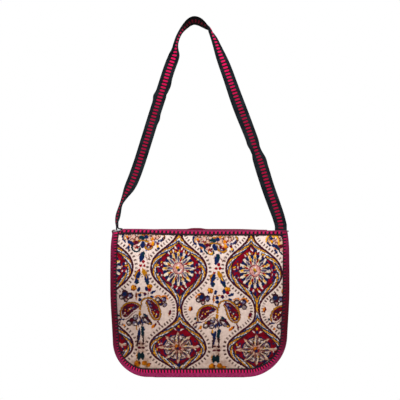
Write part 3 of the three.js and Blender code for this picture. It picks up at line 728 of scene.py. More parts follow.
# a medallion has rings of leaves on evenly turned spokes, "from" a first turn and "only" on some of them,
# in rows of ink, turn off the spoke, distance out, length, width and lean off the spoke; then loose marks
rosette = {
    "stretch": 1.06,
    "rings": [
        {"spokes": 16, "down": 0.6, "leaves": [
            ("plum", 0, 13.3, 7, 5, 0), ("cream", 0, 13.3, 5.6, 3.2, 0),
        ]},
        {"spokes": 16, "down": 0.6, "from": 11.25, "leaves": [("navy", 0, 13.9, 4.4, 3.1, 0)]},
        {"spokes": 16, "only": (3, (1, 2)), "leaves": [("white", 0, 13.9, 3.2, 1.4, 0)]},
        {"spokes": 16, "only": (3, (0,)), "leaves": [("yellow", 0, 12.9, 4, 1.8, 0)]},
        {"spokes": 8, "leaves": [
            ("cream", 0, 9, 8.8, 3.4, 0), ("lavender", 0, 9, 7.2, 2.2, 0), ("white", -3, 9.6, 5, 0.8, -3),
            ("line", 3, 9.2, 5.4, 0.8, 3),
        ]},
        {"spokes": 8, "from": 22.5, "leaves": [
            ("cream", 0, 9, 7.4, 2.7, 0), ("red", -5, 8.8, 5, 1.9, 0), ("teal", 7, 9.4, 3.8, 1.4, 0),
            ("yellow", 0, 10.8, 2.8, 1.1, 0), ("white", 0, 7, 2.4, 0.8, 0),
        ]},
    ],
    "marks": {
        "plum": {"dots": [(0, 0.6, 13.6)]},
        "red": {"dots": [(0, 0, 5.8)]},
        "pink": {"dots": [(0, 0, 5)], "leaves": [(2.2, 0.8, 3.4, 1.4, 10)]},
        "petal": {"dots": [(0, 0, 3.2)]},
        "lavender": {"dots": [(-0.4, 2.6, 0.9)]},
        "navy": {"leaves": [
            (0, -18.6, 4.4, 2.2, 0), (0.5, 21.6, 4.2, 2.4, 0), (-3.5, 20.4, 3, 1.8, 10),
            (-18.4, 0, 3.4, 2.2, 60), (-18.6, 4.6, 3, 2.4, 0), (-19.2, -5, 3, 2.2, 0),
            (18.4, -3, 3.4, 2.6, 0), (19.4, 1.4, 3.6, 1.8, 85), (19, 6.3, 3.4, 2.6, 0),
            (-21.2, 2.2, 2.6, 1.6, 0), (21, -6, 2.6, 1.6, 0), (-17.4, -8.6, 2.4, 1.6, 20),
            (17.4, 8.8, 2.4, 1.6, 20), (-17, 8.2, 2.4, 1.5, -20), (17, -8.4, 2.4, 1.5, -20),
        ]},
        "white": {"leaves": [
            (-0.6, -2.6, 4, 1.5, 70), (1.6, 2.2, 4, 1.5, 50), (-3, -19.4, 4, 1.3, -36),
            (3.4, -18.4, 3.4, 1.4, 40), (4.2, 19.4, 3.6, 1.4, -50), (-1.6, 18.6, 3, 1.3, 30),
            (-16.8, 6.4, 2.2, 0.9, 0), (21.2, 4, 2.6, 1.1, 0), (-20.4, -1.4, 2.6, 1.1, 80),
            (-17, -3, 2.2, 0.9, 20), (-20.4, 5.8, 2, 0.9, 30), (17, -0.6, 2.2, 0.9, 0),
            (20.6, -3.6, 2, 0.9, -30), (17.2, 4, 2.2, 0.9, 0), (-5.2, -16.2, 3.2, 1.5, -18),
            (5.4, -16, 3.2, 1.5, 18), (-9.6, -14, 3, 1.4, -38), (10, -13.6, 3, 1.4, 38),
            (-6, 16.8, 3, 1.3, 20), (7, 16.4, 3, 1.3, -24),
        ]},
        "yellow": {"leaves": [
            (-21, -3, 3, 1.2, 60), (21, -1.2, 3, 1.1, 80), (0.8, -16.2, 2.6, 1.2, 0),
            (-18.8, 8.6, 2.6, 0.9, 20), (-17.2, -5.8, 2, 0.9, 0), (19, -8, 2, 0.9, 0),
            (2.6, 17.4, 2.2, 1, 0), (-7.4, -15.4, 2.6, 1.2, -28), (7.8, -15, 2.6, 1.2, 28),
            (-3, -15.8, 2.4, 1, -10),
        ]},
    },
    # the eye shows one of two ways
    "eyes": [
        {"teal": {"dots": [(0.3, 1.4, 1.5)]}, "yellow": {"dots": [(-1.3, -0.9, 1.6)]},
         "line": {"dots": [(-1.9, -0.4, 0.7)]}},
        {"teal": {"dots": [(0.3, 0.4, 1.5)]}, "yellow": {"dots": [(-0.3, -0.9, 1.6)]},
         "line": {"dots": [(-0.9, -0.4, 0.7)]}},
    ],
}

pinwheel = {
    "stretch": 0.9,
    "rings": [
        {"spokes": 8, "only": (4, (0, 1, 3)), "leaves": [("petal", 0, 9.6, 14.4, 3.9, 0)]},
        {"spokes": 8, "only": (4, (2,)), "leaves": [("petal", 0, 11.1, 17.4, 3.9, 0)]},
        {"spokes": 8, "leaves": [
            ("brown", 5, 9.4, 11, 1.6, 3), ("cream", -5, 10.2, 10, 1.3, -3),
            ("lavender", 1, 10, 7.4, 1.6, 0), ("line", 0, 9, 9.6, 1.1, 0),
        ]},
        {"spokes": 8, "from": 22.5, "leaves": [
            ("grey", 0, 9.4, 7, 2.2, 0), ("white", -8, 11, 4, 1.3, -30), ("white", 7, 10.2, 3.6, 1, 40),
            ("petal", 0, 13, 5.4, 1.5, 90), ("line", 2, 9, 5.6, 1.4, 12), ("navy", -6, 14.4, 4.4, 2.1, 84),
            ("navy", 8, 14, 3.4, 1.9, 98), ("brown", -4, 7.6, 4, 1.6, 0), ("pink", 0, 5.4, 3.6, 1, 0),
        ]},
        {"spokes": 8, "from": 22.5, "only": (2, (1,)), "leaves": [("yellow", 8, 8.2, 2.6, 1, 0)]},
        {"spokes": 8, "from": 22.5, "only": (2, (0,)), "leaves": [("maroon", 3, 7, 3.6, 1.3, 0)]},
    ],
    "marks": {
        "plum": {"dots": [(0, 0, 14.2)]},
        "brown": {"dots": [(0, 0, 3.4)]},
        "orange": {"dots": [(-1.7, -1.8, 1.5)]},
        "red": {"dots": [(2.2, 1.4, 1.2)]},
        "pink": {"leaves": [(2.6, -1.8, 3, 1.2, 60)]},
        "navy": {"dots": [(-0.2, 1.2, 1.5)], "leaves": [
            (0.7, -19.6, 3.6, 3, 0), (1.1, 19.8, 4.2, 3.8, 0), (-16.6, -7, 3, 2.2, 10),
            (-18.4, 5.6, 3, 2, -10), (17.8, 4.6, 3, 2, 10), (17, -7, 2.6, 1.8, 0),
            (-20.2, -2.6, 2.6, 1.6, 0), (20.4, -3, 2.6, 1.6, 0), (-16.4, 9, 2.4, 1.4, 0),
            (16.4, 8.6, 2.4, 1.4, 0),
        ]},
        "white": {"leaves": [
            (-2.6, -20, 3.8, 1.3, -50), (3.8, -19.8, 3.8, 1.3, 60), (-2.6, 21.4, 3.8, 1.5, -50),
            (4.6, 21, 3.8, 1.5, 50), (-18.6, -3.4, 3, 1.2, 60), (19.6, -1.4, 3, 1.1, 100),
            (-18.6, 8.4, 3, 0.9, -20), (18.6, 7, 2.6, 0.9, 20), (-16.4, -4, 2.2, 0.9, 0),
            (17.2, 2.2, 2.2, 0.9, 0),
        ]},
        "yellow": {"leaves": [
            (0.4, -23.6, 3, 2, 0), (20.2, 5.8, 3, 0.9, 10), (-21, 2.6, 3, 1.1, 0), (-19.6, -6, 2.2, 0.9, 0),
        ]},
    },
}


# the leaves of a medallion's rings, as marks by ink
def ringMarks(medallion):
    marks = {}
    for turned in medallion["rings"]:
        every, kept = turned.get("only", (1, (0,)))
        for k in [k for k in range(turned["spokes"]) if k % every in kept]:
            turn = 360 * k / turned["spokes"] + turned.get("from", 0)
            for ink, aside, out, length, width, lean in turned["leaves"]:
                angle = math.radians(turn + aside)
                place = (out * math.sin(angle), turned.get("down", 0) - out * math.cos(angle))
                marks.setdefault(ink, {"leaves": []})["leaves"].append((*place, length, width, turn + lean))
    return marks


def printMedallion(inks, x, y, medallion, across, down, *more):
    near = np.hypot(x - across, y - down) < printChart["medallionReach"]
    overX, overY = x[near] - across, (y[near] - down) / medallion["stretch"]
    for marks in (ringMarks(medallion), medallion["marks"], *more):
        layMarks(inks, near, overX, overY, marks)


# how soiled the cloth is round the lower stems
def soilField(x, y):
    soil = np.zeros(x.shape)
    for column in sprayColumns:
        down = y - column["down"]
        reach = lerp(*printChart["soilReach"], smoothStep(down, *printChart["soilLow"]))
        beside = np.exp(-((x - column["axis"]) / reach) ** 2)
        soil = np.maximum(soil, beside * smoothStep(down, *printChart["soilDown"]))
    return soil


# signed distance into the nearest ogee, and how far along its edge
def ogeeFields(x, y):
    inside = np.full(x.shape, -1e3)
    along = np.zeros(x.shape)
    rows = np.arange(0.0, ogeeHalf[-1][0])
    for column in ogeeColumns:
        middle = readTable(column["axis"], rows)
        half = readTable(ogeeHalf, rows - column["down"])
        within = np.abs(x - readTable(column["axis"], y)) < readTable(ogeeHalf, y - column["down"])
        for way in (-1, 1):
            away, far = lineField(x, y, np.stack([middle + way * half, rows], axis=-1))
            signed = np.where(within, away, -away)
            nearer = np.abs(signed) < np.abs(inside)
            inside = np.where(nearer, signed, inside)
            along = np.where(nearer, far, along)
    return inside, along


# a hand printer's wander, from two crossed sines
def wanderOf(first, second, fast, bend, slow, cross, drift):
    main = np.sin(fast * first + bend * np.sin(slow * second))
    minor = printChart["wobbleSecond"] * np.sin(cross * second + drift * first)
    return printChart["wobble"] * (main + minor)


def chartPrint(piece, side, drop):
    chart = printChart
    x = side / chart["square"]
    y = (drop + flapSag(side, drop)) / chart["square"] + chart["top"]
    wanderX = wanderOf(x, y, *chart["wanderAcross"])
    wanderY = wanderOf(y, x, *chart["wanderDown"])
    inside, along = ogeeFields(x + chart["wobbleOgee"] * wanderX, y + chart["wobbleOgee"] * wanderY)
    x, y = x + wanderX, y + wanderY
    inks = {ink: np.full(len(x), chart["bare"]) for ink, _ in chart["order"]}
    for column in sprayColumns:
        printSpray(inks, x, y, column, inside)
    for column in ogeeColumns:
        across, down, eye = column["rosette"]
        printMedallion(inks, x, y, rosette, across, down, rosette["eyes"][eye])
        printMedallion(inks, x, y, pinwheel, *column["pinwheel"])
    fields = {"ogeeInside": inside, "ogeeAlong": along, "soil": soilField(x, y), **inks}
    for name, values in fields.items():
        keepField(piece, name, values)


# looks of the cloths and the metal; rows such as "mottled" are a noise's scale, detail and ramp

canvasLook = {
    "ground": (238, 218, 208), "groundWarm": (232, 209, 197), "groundScale": 25, "smear": (200, 174, 160),
    "mottled": (170, 4.0, 0.48, 0.74, 0.0, 0.4), "smeared": (45, 4.0, 0.5, 0.75, 0.0, 0.7),
    "dash": (82, 54, 50), "dashPitch": 3.35, "dashShare": 0.46, "dashSoft": 0.08, "dashNear": -1.8,
    "dashFar": -4.6, "dashFade": (120, 3.0, 0.3, 0.55, 0.55, 1.0),
    "bandFrom": -0.6, "bandOutline": 1.45, "bandRope": 5.2, "bandInner": 6.3,
    "outline": (64, 13, 32), "innerLine": (34, 20, 40), "redGround": (150, 0, 29), "redDeep": (94, 0, 18),
    "redWorn": (150, 4.0, 0.38, 0.62),
    "rope": [
        (0.0, (224, 154, 24)), (0.34, (26, 22, 58)), (0.44, (236, 226, 220)), (0.66, (44, 82, 132)),
        (0.86, (24, 22, 54)),
    ],
    "ropePitch": 15.0, "ropeSlant": 3.8, "ropeMottle": 11.0, "ropeGrain": 330,
    "tick": (34, 24, 56), "tickPitch": 5.2, "tickSlant": -1.7, "tickShare": 0.24, "tickSoft": 0.05,
    "tickMottle": 4.0, "tickMost": 0.6,
    "patch": (140, 112, 120), "patches": (300, 4.0, 0.42, 0.7, 0.0, 0.7), "patchLeast": 0.35,
    "patchSoft": 0.5,
    "lowShade": (216, 210, 206), "lowShadeDown": (15, 190), "dim": (206, 204, 206), "dimAcross": (-40, -125),
    "dimDown": (88, 168), "dimSoft": 28, "soil": (168, 142, 124), "soiled": (110, 4.0, 0.3, 0.65),
    "grain": 900, "edgeNoise": 1.1, "ogeeNoise": 0.6, "soft": 0.22,
    "weavePitch": 1.15, "weaveSingle": 0.3, "weaveShade": (0.0, 1.3, 0.16, 0.0), "weaveTint": (60, 40, 40),
    "blotch": 60, "rough": (0.2, 0.8, 0.78, 0.95), "shine": 0.06, "bump": (0.22, 0.8),
}


def canvasWeave(tree, across, down):
    warp, weft = (thread(tree, way, canvasLook["weavePitch"]) for way in (across, down))
    single = sums(tree, "MULTIPLY", sums(tree, "ADD", warp, weft), canvasLook["weaveSingle"])
    return sums(tree, "MULTIPLY_ADD", warp, weft, single)


# the ground with its smears, and the rows of dashes round the ogees
def canvasGround(tree, place, inside, along, lowShading):
    cloth = canvasLook
    colour = mixed(tree, noise(tree, place, cloth["groundScale"]), cloth["ground"], cloth["groundWarm"])
    colour = mixed(tree, patches(tree, place, *cloth["mottled"]), colour, cloth["smear"])
    # the smears follow the painted shade's share, so they grow towards the bottom
    smeared = sums(tree, "MULTIPLY", lowShading, patches(tree, place, *cloth["smeared"]))
    colour = mixed(tree, smeared, colour, cloth["smear"])
    half = cloth["dashShare"] / 2
    inRow = between(tree, inside, cloth["dashFar"], cloth["dashNear"], cloth["soft"])
    spot = repeat(tree, along, cloth["dashPitch"])
    onRow = between(tree, spot, 0.5 - half, 0.5 + half, cloth["dashSoft"])
    faded = sums(tree, "MULTIPLY", onRow, patches(tree, place, *cloth["dashFade"]))
    return mixed(tree, sums(tree, "MULTIPLY", inRow, faded), colour, cloth["dash"])


# the twisted rope between an ogee's outlines
def canvasRope(tree, place, inside, along):
    cloth = canvasLook
    mottle = sums(tree, "SUBTRACT", noise(tree, place, cloth["ropeGrain"]), 0.5)

    def slanted(slant, mottling, pitch):
        onSlant = sums(tree, "MULTIPLY_ADD", inside, slant, along)
        return repeat(tree, sums(tree, "MULTIPLY_ADD", mottle, mottling, onSlant), pitch)

    strands = tree.nodes.new("ShaderNodeValToRGB")
    strands.color_ramp.interpolation = "CONSTANT"
    feed(tree, strands.inputs[0], slanted(cloth["ropeSlant"], cloth["ropeMottle"], cloth["ropePitch"]))
    stops = strands.color_ramp.elements
    stops.remove(stops[1])
    stops[0].color = linear(*cloth["rope"][0][1])
    for spot, tint in cloth["rope"][1:]:
        stops.new(spot).color = linear(*tint)
    ticked = slanted(cloth["tickSlant"], cloth["tickMottle"], cloth["tickPitch"])
    edge, soft = cloth["tickShare"], cloth["tickSoft"]
    inTick = ramp(tree, ticked, edge + soft, edge - soft)
    return mixed(tree, sums(tree, "MULTIPLY", inTick, cloth["tickMost"]), strands.outputs[0], cloth["tick"])


def makePrintedCanvas():
    cloth = canvasLook
    look, tree, shader = newLook("printed_canvas")
    place = objectPlace(tree)
    across, down = clothMap(tree)
    grain = noise(tree, place, cloth["grain"])
    wander = sums(tree, "MULTIPLY", sums(tree, "SUBTRACT", grain, 0.5), cloth["edgeNoise"])
    inside = sums(tree, "MULTIPLY_ADD", wander, cloth["ogeeNoise"], attribute(tree, "ogeeInside"))
    along = attribute(tree, "ogeeAlong")
    # painted shade: the whole print darkens towards the bottom
    lowShading = ramp(tree, down, *cloth["lowShadeDown"])
    soft = cloth["soft"]
    colour = canvasGround(tree, place, inside, along, lowShading)
    rope = canvasRope(tree, place, inside, along)
    red = mixed(tree, patches(tree, place, *cloth["redWorn"]), cloth["redDeep"], cloth["redGround"])
    bands = {"bandFrom": cloth["outline"], "bandOutline": rope, "bandRope": cloth["innerLine"]}
    for start, tint in {**bands, "bandInner": red}.items():
        inBand = ramp(tree, inside, cloth[start] - soft, cloth[start] + soft)
        colour = mixed(tree, inBand, colour, tint)
    for ink, tint in printChart["order"]:
        field = sums(tree, "ADD", attribute(tree, ink), wander)
        colour = mixed(tree, ramp(tree, field, soft, -soft), colour, tint)

    # wear over the whole print, painted shade darker towards the bottom and towards the left lower down,
    # soil round the stems, then the shade of the weave
    onOgee = ramp(tree, inside, -cloth["patchSoft"], cloth["patchSoft"])
    inked = sums(tree, "MAXIMUM", onOgee, cloth["patchLeast"])
    patchy = sums(tree, "MULTIPLY", patches(tree, place, *cloth["patches"]), inked)
    # painted shade: darker towards the left in the lower middle of the flap
    lower = between(tree, down, *cloth["dimDown"], cloth["dimSoft"])
    leftLowShade = sums(tree, "MULTIPLY", ramp(tree, across, *cloth["dimAcross"]), lower)
    soiled = sums(tree, "MULTIPLY", attribute(tree, "soil"), patches(tree, place, *cloth["soiled"]))
    weave = canvasWeave(tree, across, down)
    shaded = ramp(tree, weave, *cloth["weaveShade"])
    darker = {"patch": patchy, "lowShade": lowShading, "dim": leftLowShade, "soil": soiled, "weaveTint": shaded}
    for tint, share in darker.items():
        colour = mixed(tree, share, colour, cloth[tint], "MULTIPLY")
    height = sums(tree, "ADD", weave, grain)
    finishLook(tree, shader, cloth, colour, noise(tree, place, cloth["blotch"]), height)
    return look


backLook = {
    "ground": (224, 208, 190), "groundDull": (206, 186, 166), "groundScale": 40,
    "through": (150, 70, 76), "throughSpan": (-1, 2, 0.0, 0.3),
    "weaveTint": (90, 70, 60), "weaveShade": (0.0, 1.3, 0.3, 0.0),
    "blotch": 300, "rough": (0.2, 0.8, 0.82, 0.96), "shine": 0.5, "bump": (0.25, 0.8),
}


# the flap's unprinted side, where some red comes through
def makeCanvasBack():
    cloth = backLook
    look, tree, shader = newLook("canvas_back")
    place = objectPlace(tree)
    weave = canvasWeave(tree, *clothMap(tree))
    through = ramp(tree, attribute(tree, "ogeeInside"), *cloth["throughSpan"])
    colour = mixed(tree, noise(tree, place, cloth["groundScale"]), cloth["ground"], cloth["groundDull"])
    colour = mixed(tree, through, colour, cloth["through"])
    colour = mixed(tree, ramp(tree, weave, *cloth["weaveShade"]), colour, cloth["weaveTint"], "MULTIPLY")
    finishLook(tree, shader, cloth, colour, noise(tree, place, cloth["blotch"]), weave)
    return look


# shade of a narrow band's ribs, and its height with the dashes raised
def bandWeave(tree, band, ribs, picks, fuzz, inDash):
    shade = sums(tree, "MULTIPLY", ribs, picks)
    rough = sums(tree, "ADD", shade, sums(tree, "MULTIPLY", fuzz, band["fuzzHigh"]))
    return ramp(tree, shade, *band["ribShade"]), sums(tree, "MULTIPLY_ADD", inDash, band["dashHigh"], rough)


ribbonLook = {
    "solid": (172, 44, 100), "solidShaded": (82, 0, 12), "dash": (224, 22, 98), "dashShaded": (100, 7, 30),
    "dark": (26, 26, 32), "crush": (96, 8, 44), "crushed": (240, 3.0, 0.35, 0.75, 0.0, 0.5),
    "solidTo": 9.4, "dashTo": 13.4, "edgeSoft": 0.4, "slant": 0.02, "dashShare": 0.47, "dashSoft": 0.06,
    "stitch": (112, 30, 62), "stitchAt": 14.5, "stitchHalf": 0.22, "stitchPitch": 0.48,
    "rib": 0.175, "pick": 0.9, "ribTint": (60, 8, 34), "ribShade": (0.0, 0.7, 0.4, 0.0),
    "fuzz": 700, "fuzzHigh": 0.4, "dashHigh": 0.8, "ragged": 0.3, "raggedAlong": 0.4,
    "rough": (0.2, 0.8, 0.65, 0.9), "shine": 0.06, "bump": (0.35, 0.9),
}


def makeRibbonWeave():
    band = ribbonLook
    look, tree, shader = newLook("ribbon_weave")
    place = objectPlace(tree)
    along, across = clothMap(tree)
    lit = attribute(tree, "ribbonLightShade")
    fuzz = noise(tree, place, band["fuzz"])
    ragged = sums(tree, "MULTIPLY_ADD", fuzz, band["ragged"], -band["ragged"] / 2)
    edge = sums(tree, "ADD", across, ragged)
    edgeSoft = band["edgeSoft"]
    inBand, beforeDark = (
        ramp(tree, edge, end + edgeSoft, end - edgeSoft) for end in (band["solidTo"], band["dashTo"]))
    over = sums(tree, "SUBTRACT", across, band["solidTo"])
    slanted = sums(tree, "MULTIPLY_ADD", over, band["slant"], along)
    spot = sums(tree, "ABSOLUTE", sums(tree, "SUBTRACT", sums(tree, "FRACT", slanted), 0.5))
    spot = sums(tree, "MULTIPLY_ADD", ragged, band["raggedAlong"], spot)
    half, soft = band["dashShare"] / 2, band["dashSoft"]
    inDash = sums(tree, "MULTIPLY", ramp(tree, spot, half + soft, half - soft), beforeDark)
    # painted light and shade: lit and shaded copies of the crimson and of the dashes, mixed by the painted
    # share
    crimson = mixed(tree, lit, band["solidShaded"], band["solid"])
    crimson = mixed(tree, patches(tree, place, *band["crushed"]), crimson, band["crush"], "MULTIPLY")
    colour = mixed(tree, inDash, band["dark"], mixed(tree, lit, band["dashShaded"], band["dash"]))
    colour = mixed(tree, inBand, colour, crimson)
    seam = stitches(tree, across, band["stitchAt"], band["stitchHalf"], along, band["stitchPitch"])
    colour = mixed(tree, seam, colour, band["stitch"])
    ribs, picks = thread(tree, along, band["rib"]), thread(tree, across, band["pick"])
    shaded, height = bandWeave(tree, band, ribs, picks, fuzz, inDash)
    colour = mixed(tree, shaded, colour, band["ribTint"], "MULTIPLY")
    finishLook(tree, shader, band, colour, fuzz, sums(tree, "ADD", height, seam))
    return look


pileLook = {
    "deep": (70, 4, 26), "bright": (112, 10, 46), "brushed": (55, 5.0, 0.3, 0.7, 0.3, 0.8),
    "worn": (138, 30, 66), "crush": 210, "wornSpan": (0.55, 0.85, 0.0, 0.4),
    "napTint": (50, 0, 16), "nap": 1400, "napDetail": 2.0, "napSpan": (0.3, 0.6, 0.5, 0.0),
    "crushHigh": 0.6, "sheen": 0.3, "sheenRough": 0.35, "sheenTint": (200, 60, 110),
    "rough": (0.2, 0.8, 0.85, 1.0), "shine": 0.05, "bump": (0.4, 0.8),
}


def makePileCloth():
    pile = pileLook
    look, tree, shader = newLook("pile_cloth")
    place = objectPlace(tree)
    nap = noise(tree, place, pile["nap"], pile["napDetail"])
    crush = noise(tree, place, pile["crush"])
    colour = mixed(tree, patches(tree, place, *pile["brushed"]), pile["deep"], pile["bright"])
    colour = mixed(tree, ramp(tree, crush, *pile["wornSpan"]), colour, pile["worn"])
    colour = mixed(tree, ramp(tree, nap, *pile["napSpan"]), colour, pile["napTint"], "MULTIPLY")
    feed(tree, shader.inputs["Sheen Weight"], pile["sheen"])
    feed(tree, shader.inputs["Sheen Roughness"], pile["sheenRough"])
    feed(tree, shader.inputs["Sheen Tint"], pile["sheenTint"])
    finishLook(tree, shader, pile, colour, crush, sums(tree, "MULTIPLY_ADD", crush, pile["crushHigh"], nap))
    return look


strapLook = {
    "ground": (20, 25, 31), "groundWorn": (38, 44, 50), "wear": 70, "wearSpan": (0.4, 0.75),
    "dash": (188, 12, 66), "dashDeep": (142, 8, 50), "dashTop": (255, 20, 104),
    "topFrom": -150, "topFull": -55, "pitch": 5.75, "dashAcross": 4.1, "dashAlong": 1.5, "dashPower": 4.0,
    "dashSpan": (1.35, 0.65), "slant": 0.06, "ragged": 0.8, "apexShade": (96, 84, 80),
    "stitch": (62, 64, 70), "sewnAt": (-349, -343), "stitchHalf": 0.3, "stitchPitch": 2.6,
    "rib": 1.3, "pick": 1.45, "ribTint": (70, 30, 46), "ribShade": (0.0, 0.7, 0.4, 0.0),
    "fuzz": 800, "fuzzHigh": 0.4, "dashHigh": 0.7,
    "rough": (0.2, 0.8, 0.7, 0.92), "shine": 0.06, "bump": (0.35, 0.9),
}


def makeStrapWeave():
    band = strapLook
    look, tree, shader = newLook("strap_weave")
    place = objectPlace(tree)
    along, across = clothMap(tree)
    high = sums(tree, "DIVIDE", heightOf(tree, place), mm)
    fuzz = noise(tree, place, band["fuzz"])
    wear = noise(tree, place, band["wear"])
    slanted = sums(tree, "MULTIPLY_ADD", across, band["slant"], along)
    spot = sums(tree, "SUBTRACT", repeat(tree, slanted, band["pitch"]), 0.5)
    spot = sums(tree, "MULTIPLY", spot, band["pitch"])
    out = sums(tree, "MULTIPLY_ADD", fuzz, band["ragged"], -band["ragged"] / 2)
    for far, reach in ((across, band["dashAcross"]), (spot, band["dashAlong"])):
        share = sums(tree, "ABSOLUTE", sums(tree, "DIVIDE", far, reach))
        out = sums(tree, "ADD", out, sums(tree, "POWER", share, band["dashPower"]))
    inDash = ramp(tree, out, *band["dashSpan"])
    ground = mixed(tree, ramp(tree, wear, *band["wearSpan"]), band["ground"], band["groundWorn"])
    red = mixed(tree, wear, band["dash"], band["dashDeep"])
    red = mixed(tree, ramp(tree, high, band["topFrom"], band["topFull"]), red, band["dashTop"])
    colour = mixed(tree, inDash, ground, red)
    for sewnAt in band["sewnAt"]:
        seam = stitches(tree, high, sewnAt, band["stitchHalf"], across, band["stitchPitch"])
        colour = mixed(tree, seam, colour, band["stitch"])
    ribs, picks = thread(tree, across, band["rib"]), thread(tree, along, band["pick"])
    shaded, height = bandWeave(tree, band, ribs, picks, fuzz, inDash)
    colour = mixed(tree, shaded, colour, band["ribTint"], "MULTIPLY")
    # painted shade on the strap's underside where it turns over the hanging point
    colour = mixed(tree, attribute(tree, "apexShade"), colour, band["apexShade"], "MULTIPLY")
    finishLook(tree, shader, band, colour, fuzz, height)
    return look


ringLook = {
    "bright": (142, 143, 142), "dull": (104, 103, 101), "tarnish": (90, 3.0, 0.35, 0.75),
    "scuff": 420, "scuffDetail": 4.0, "rough": (0.3, 0.7, 0.34, 0.56), "shine": 0.5, "bump": (0.05, 0.5),
}


def makeRingMetal():
    look, tree, shader = newLook("ring_metal")
    place = objectPlace(tree)
    scuff = noise(tree, place, ringLook["scuff"], ringLook["scuffDetail"])
    colour = mixed(tree, patches(tree, place, *ringLook["tarnish"]), ringLook["bright"], ringLook["dull"])
    feed(tree, shader.inputs["Metallic"], 1.0)
    finishLook(tree, shader, ringLook, colour, scuff, scuff)
    return look


printedCanvas = makePrintedCanvas()
canvasBack = makeCanvasBack()
ribbonWeave = makeRibbonWeave()
pileCloth = makePileCloth()
strapWeave = makeStrapWeave()
ringMetal = makeRingMetal()
print("looks made")


# the printed flap

def flapSheet(columns, rows, height):
    bm, share, up = clothGrid(columns, rows)
    low = flap["drop"] - flap["edgeInset"]
    drop = lerp(low, flap["edgeInset"] * ribbon["topShare"], up)
    toSide = 2 * share - 1
    side = toSide * roundedHalf(flapHalf(drop), flap["drop"], cornerAt(toSide), drop, flap["edgeInset"])
    rippled = flap["ripple"] * crossWaves(side, drop, flap["ripples"])
    layCloth(bm, flapAt(side, drop, rippled * smoothStep(drop, *flap["rippleDown"]) + height), side, drop)
    return bm, side, drop


# a finely divided printed face, a plain back and the rim between them
def makeFlap():
    back, backSide, backDrop = flapSheet(flap["backColumns"], flap["backRows"], -flap["canvas"])
    turnTo(back, y=-40, drop=120, way=(0, 1, 0))
    for face in back.faces:
        face.material_index = 1
    bm, side, drop = flapSheet(flap["columns"], flap["rows"], 0)
    turnTo(bm, y=-40, drop=120, way=(0, -1, 0))
    joinMesh(bm, toMesh("flapBack", back))
    rim = bmesh.ops.bridge_loops(bm, edges=[edge for edge in bm.edges if edge.is_boundary])
    for face in rim["faces"]:
        face.material_index = 1
    piece = addPiece("flap_canvas", bm, [printedCanvas, canvasBack], ["flap"])
    chartPrint(piece, np.concatenate([side, backSide]), np.concatenate([drop, backDrop]))
    return piece


# the ribbon folded over the flap's edge: one strip along the top and one round the other three sides
ribbon = {
    "width": 15.2, "backWidth": 9, "cloth": 1.1, "clear": 0.6, "wall": 0.8, "fold": 2.2, "bendShare": 0.8,
    "leftShare": 0.76, "rightShare": 0.82, "rightShareTop": 0.7, "rightShareDown": (20, 75),
    "topShare": 0.58, "cornerShare": 0.34, "mitre": 13,  # shares of its width that show
    "puff": 0.22, "edgeDown": 0.7, "edgeReach": 1.2,
    "topCrest": 0.1, "crestInset": (1, 7), "crestHeight": (-2, 1),
    "topSteps": 200, "sideSteps": 520, "acrossSteps": 22,
    "topPitch": 6.675, "topShift": 2.92, "sidePitch": 5.32,
    # where the weave's bands lie across the ribbon: at the top, by its corners and along the bottom
    "topMap": [(0, 0), (5.2, 9.4), (10.9, 13.4), (15.2, 15.6)],
    "cornerMap": [(0, 0), (4.5, 9.4), (12.2, 13.4), (15.2, 15.6)], "cornerFrom": 8, "cornerTo": 40,
    "bottomMap": [(0, 0), (7.8, 9.4), (12.8, 13.4), (15.2, 15.6)], "bottomTurn": (0.2, 0.8),
}

# painted light and shade on the ribbon: the share from shaded (0) to lit (1) at each mm down a side, along
# the top and at the top's right end
nap = {
    "down": [
        (0, 0.62), (30, 0.5), (75, 0.25), (110, 0.16), (175, 0.14), (205, 0.5), (232, 0.95), (247, 1.0),
    ],
    "rightLess": 0.06, "rightFrom": 40, "rightTo": 200,
    "top": 0.84, "topDrop": 11, "corner": 0.4, "cornerFrom": 14, "cornerFull": 6,
}


# height and inset of the ribbon's outer face, from its front edge (0) over the fold to its rear edge (1)
def ribbonSection(share):
    top = ribbon["clear"] + ribbon["cloth"]
    under = -flap["canvas"] - top
    fold = ribbon["fold"]
    front, back = ribbon["width"] - fold, ribbon["backWidth"] - fold
    bend = math.pi * (top - under) / 2 * ribbon["bendShare"]
    run = share * (front + bend + back)
    turn = np.clip((run - front) / bend, 0, 1) * math.pi
    behind = np.where(run < front + bend, fold * (1 - np.sin(turn)), run - front - bend + fold)
    inset = np.where(run < front, ribbon["width"] - run, behind)
    height = (top + under) / 2 + (top - under) / 2 * np.cos(turn)
    pressed = ribbon["edgeDown"] * (1 - smoothStep(run, 0, ribbon["edgeReach"]))
    puffed = ribbon["puff"] * np.sin(np.clip(run / front, 0, 1) * math.pi)
    return inset, height - pressed + puffed, ribbon["width"] - run


# the top strip shows less where the flap's left corner droops under the ring
def topShareAt(side):
    drooped = smoothStep(-side, flap["droopFrom"], flap["droopFull"])
    return ribbon["topShare"] * lerp(1, ribbon["cornerShare"], drooped)


def sideShareAt(way, drop):
    right = lerp(ribbon["rightShareTop"], ribbon["rightShare"], smoothStep(drop, *ribbon["rightShareDown"]))
    return np.where(way > 0, right, ribbon["leftShare"])


# half the length of the top strip, this far in from its outer edge
def topEdgeHalf(way, inset):
    return flap["halfTop"] - inset * sideShareAt(way, 0 * inset)


# the weave's place across the ribbon, by one of its maps
def bandPlace(across, name):
    places, bands = zip(*ribbon[name])
    return np.interp(across, places, bands)


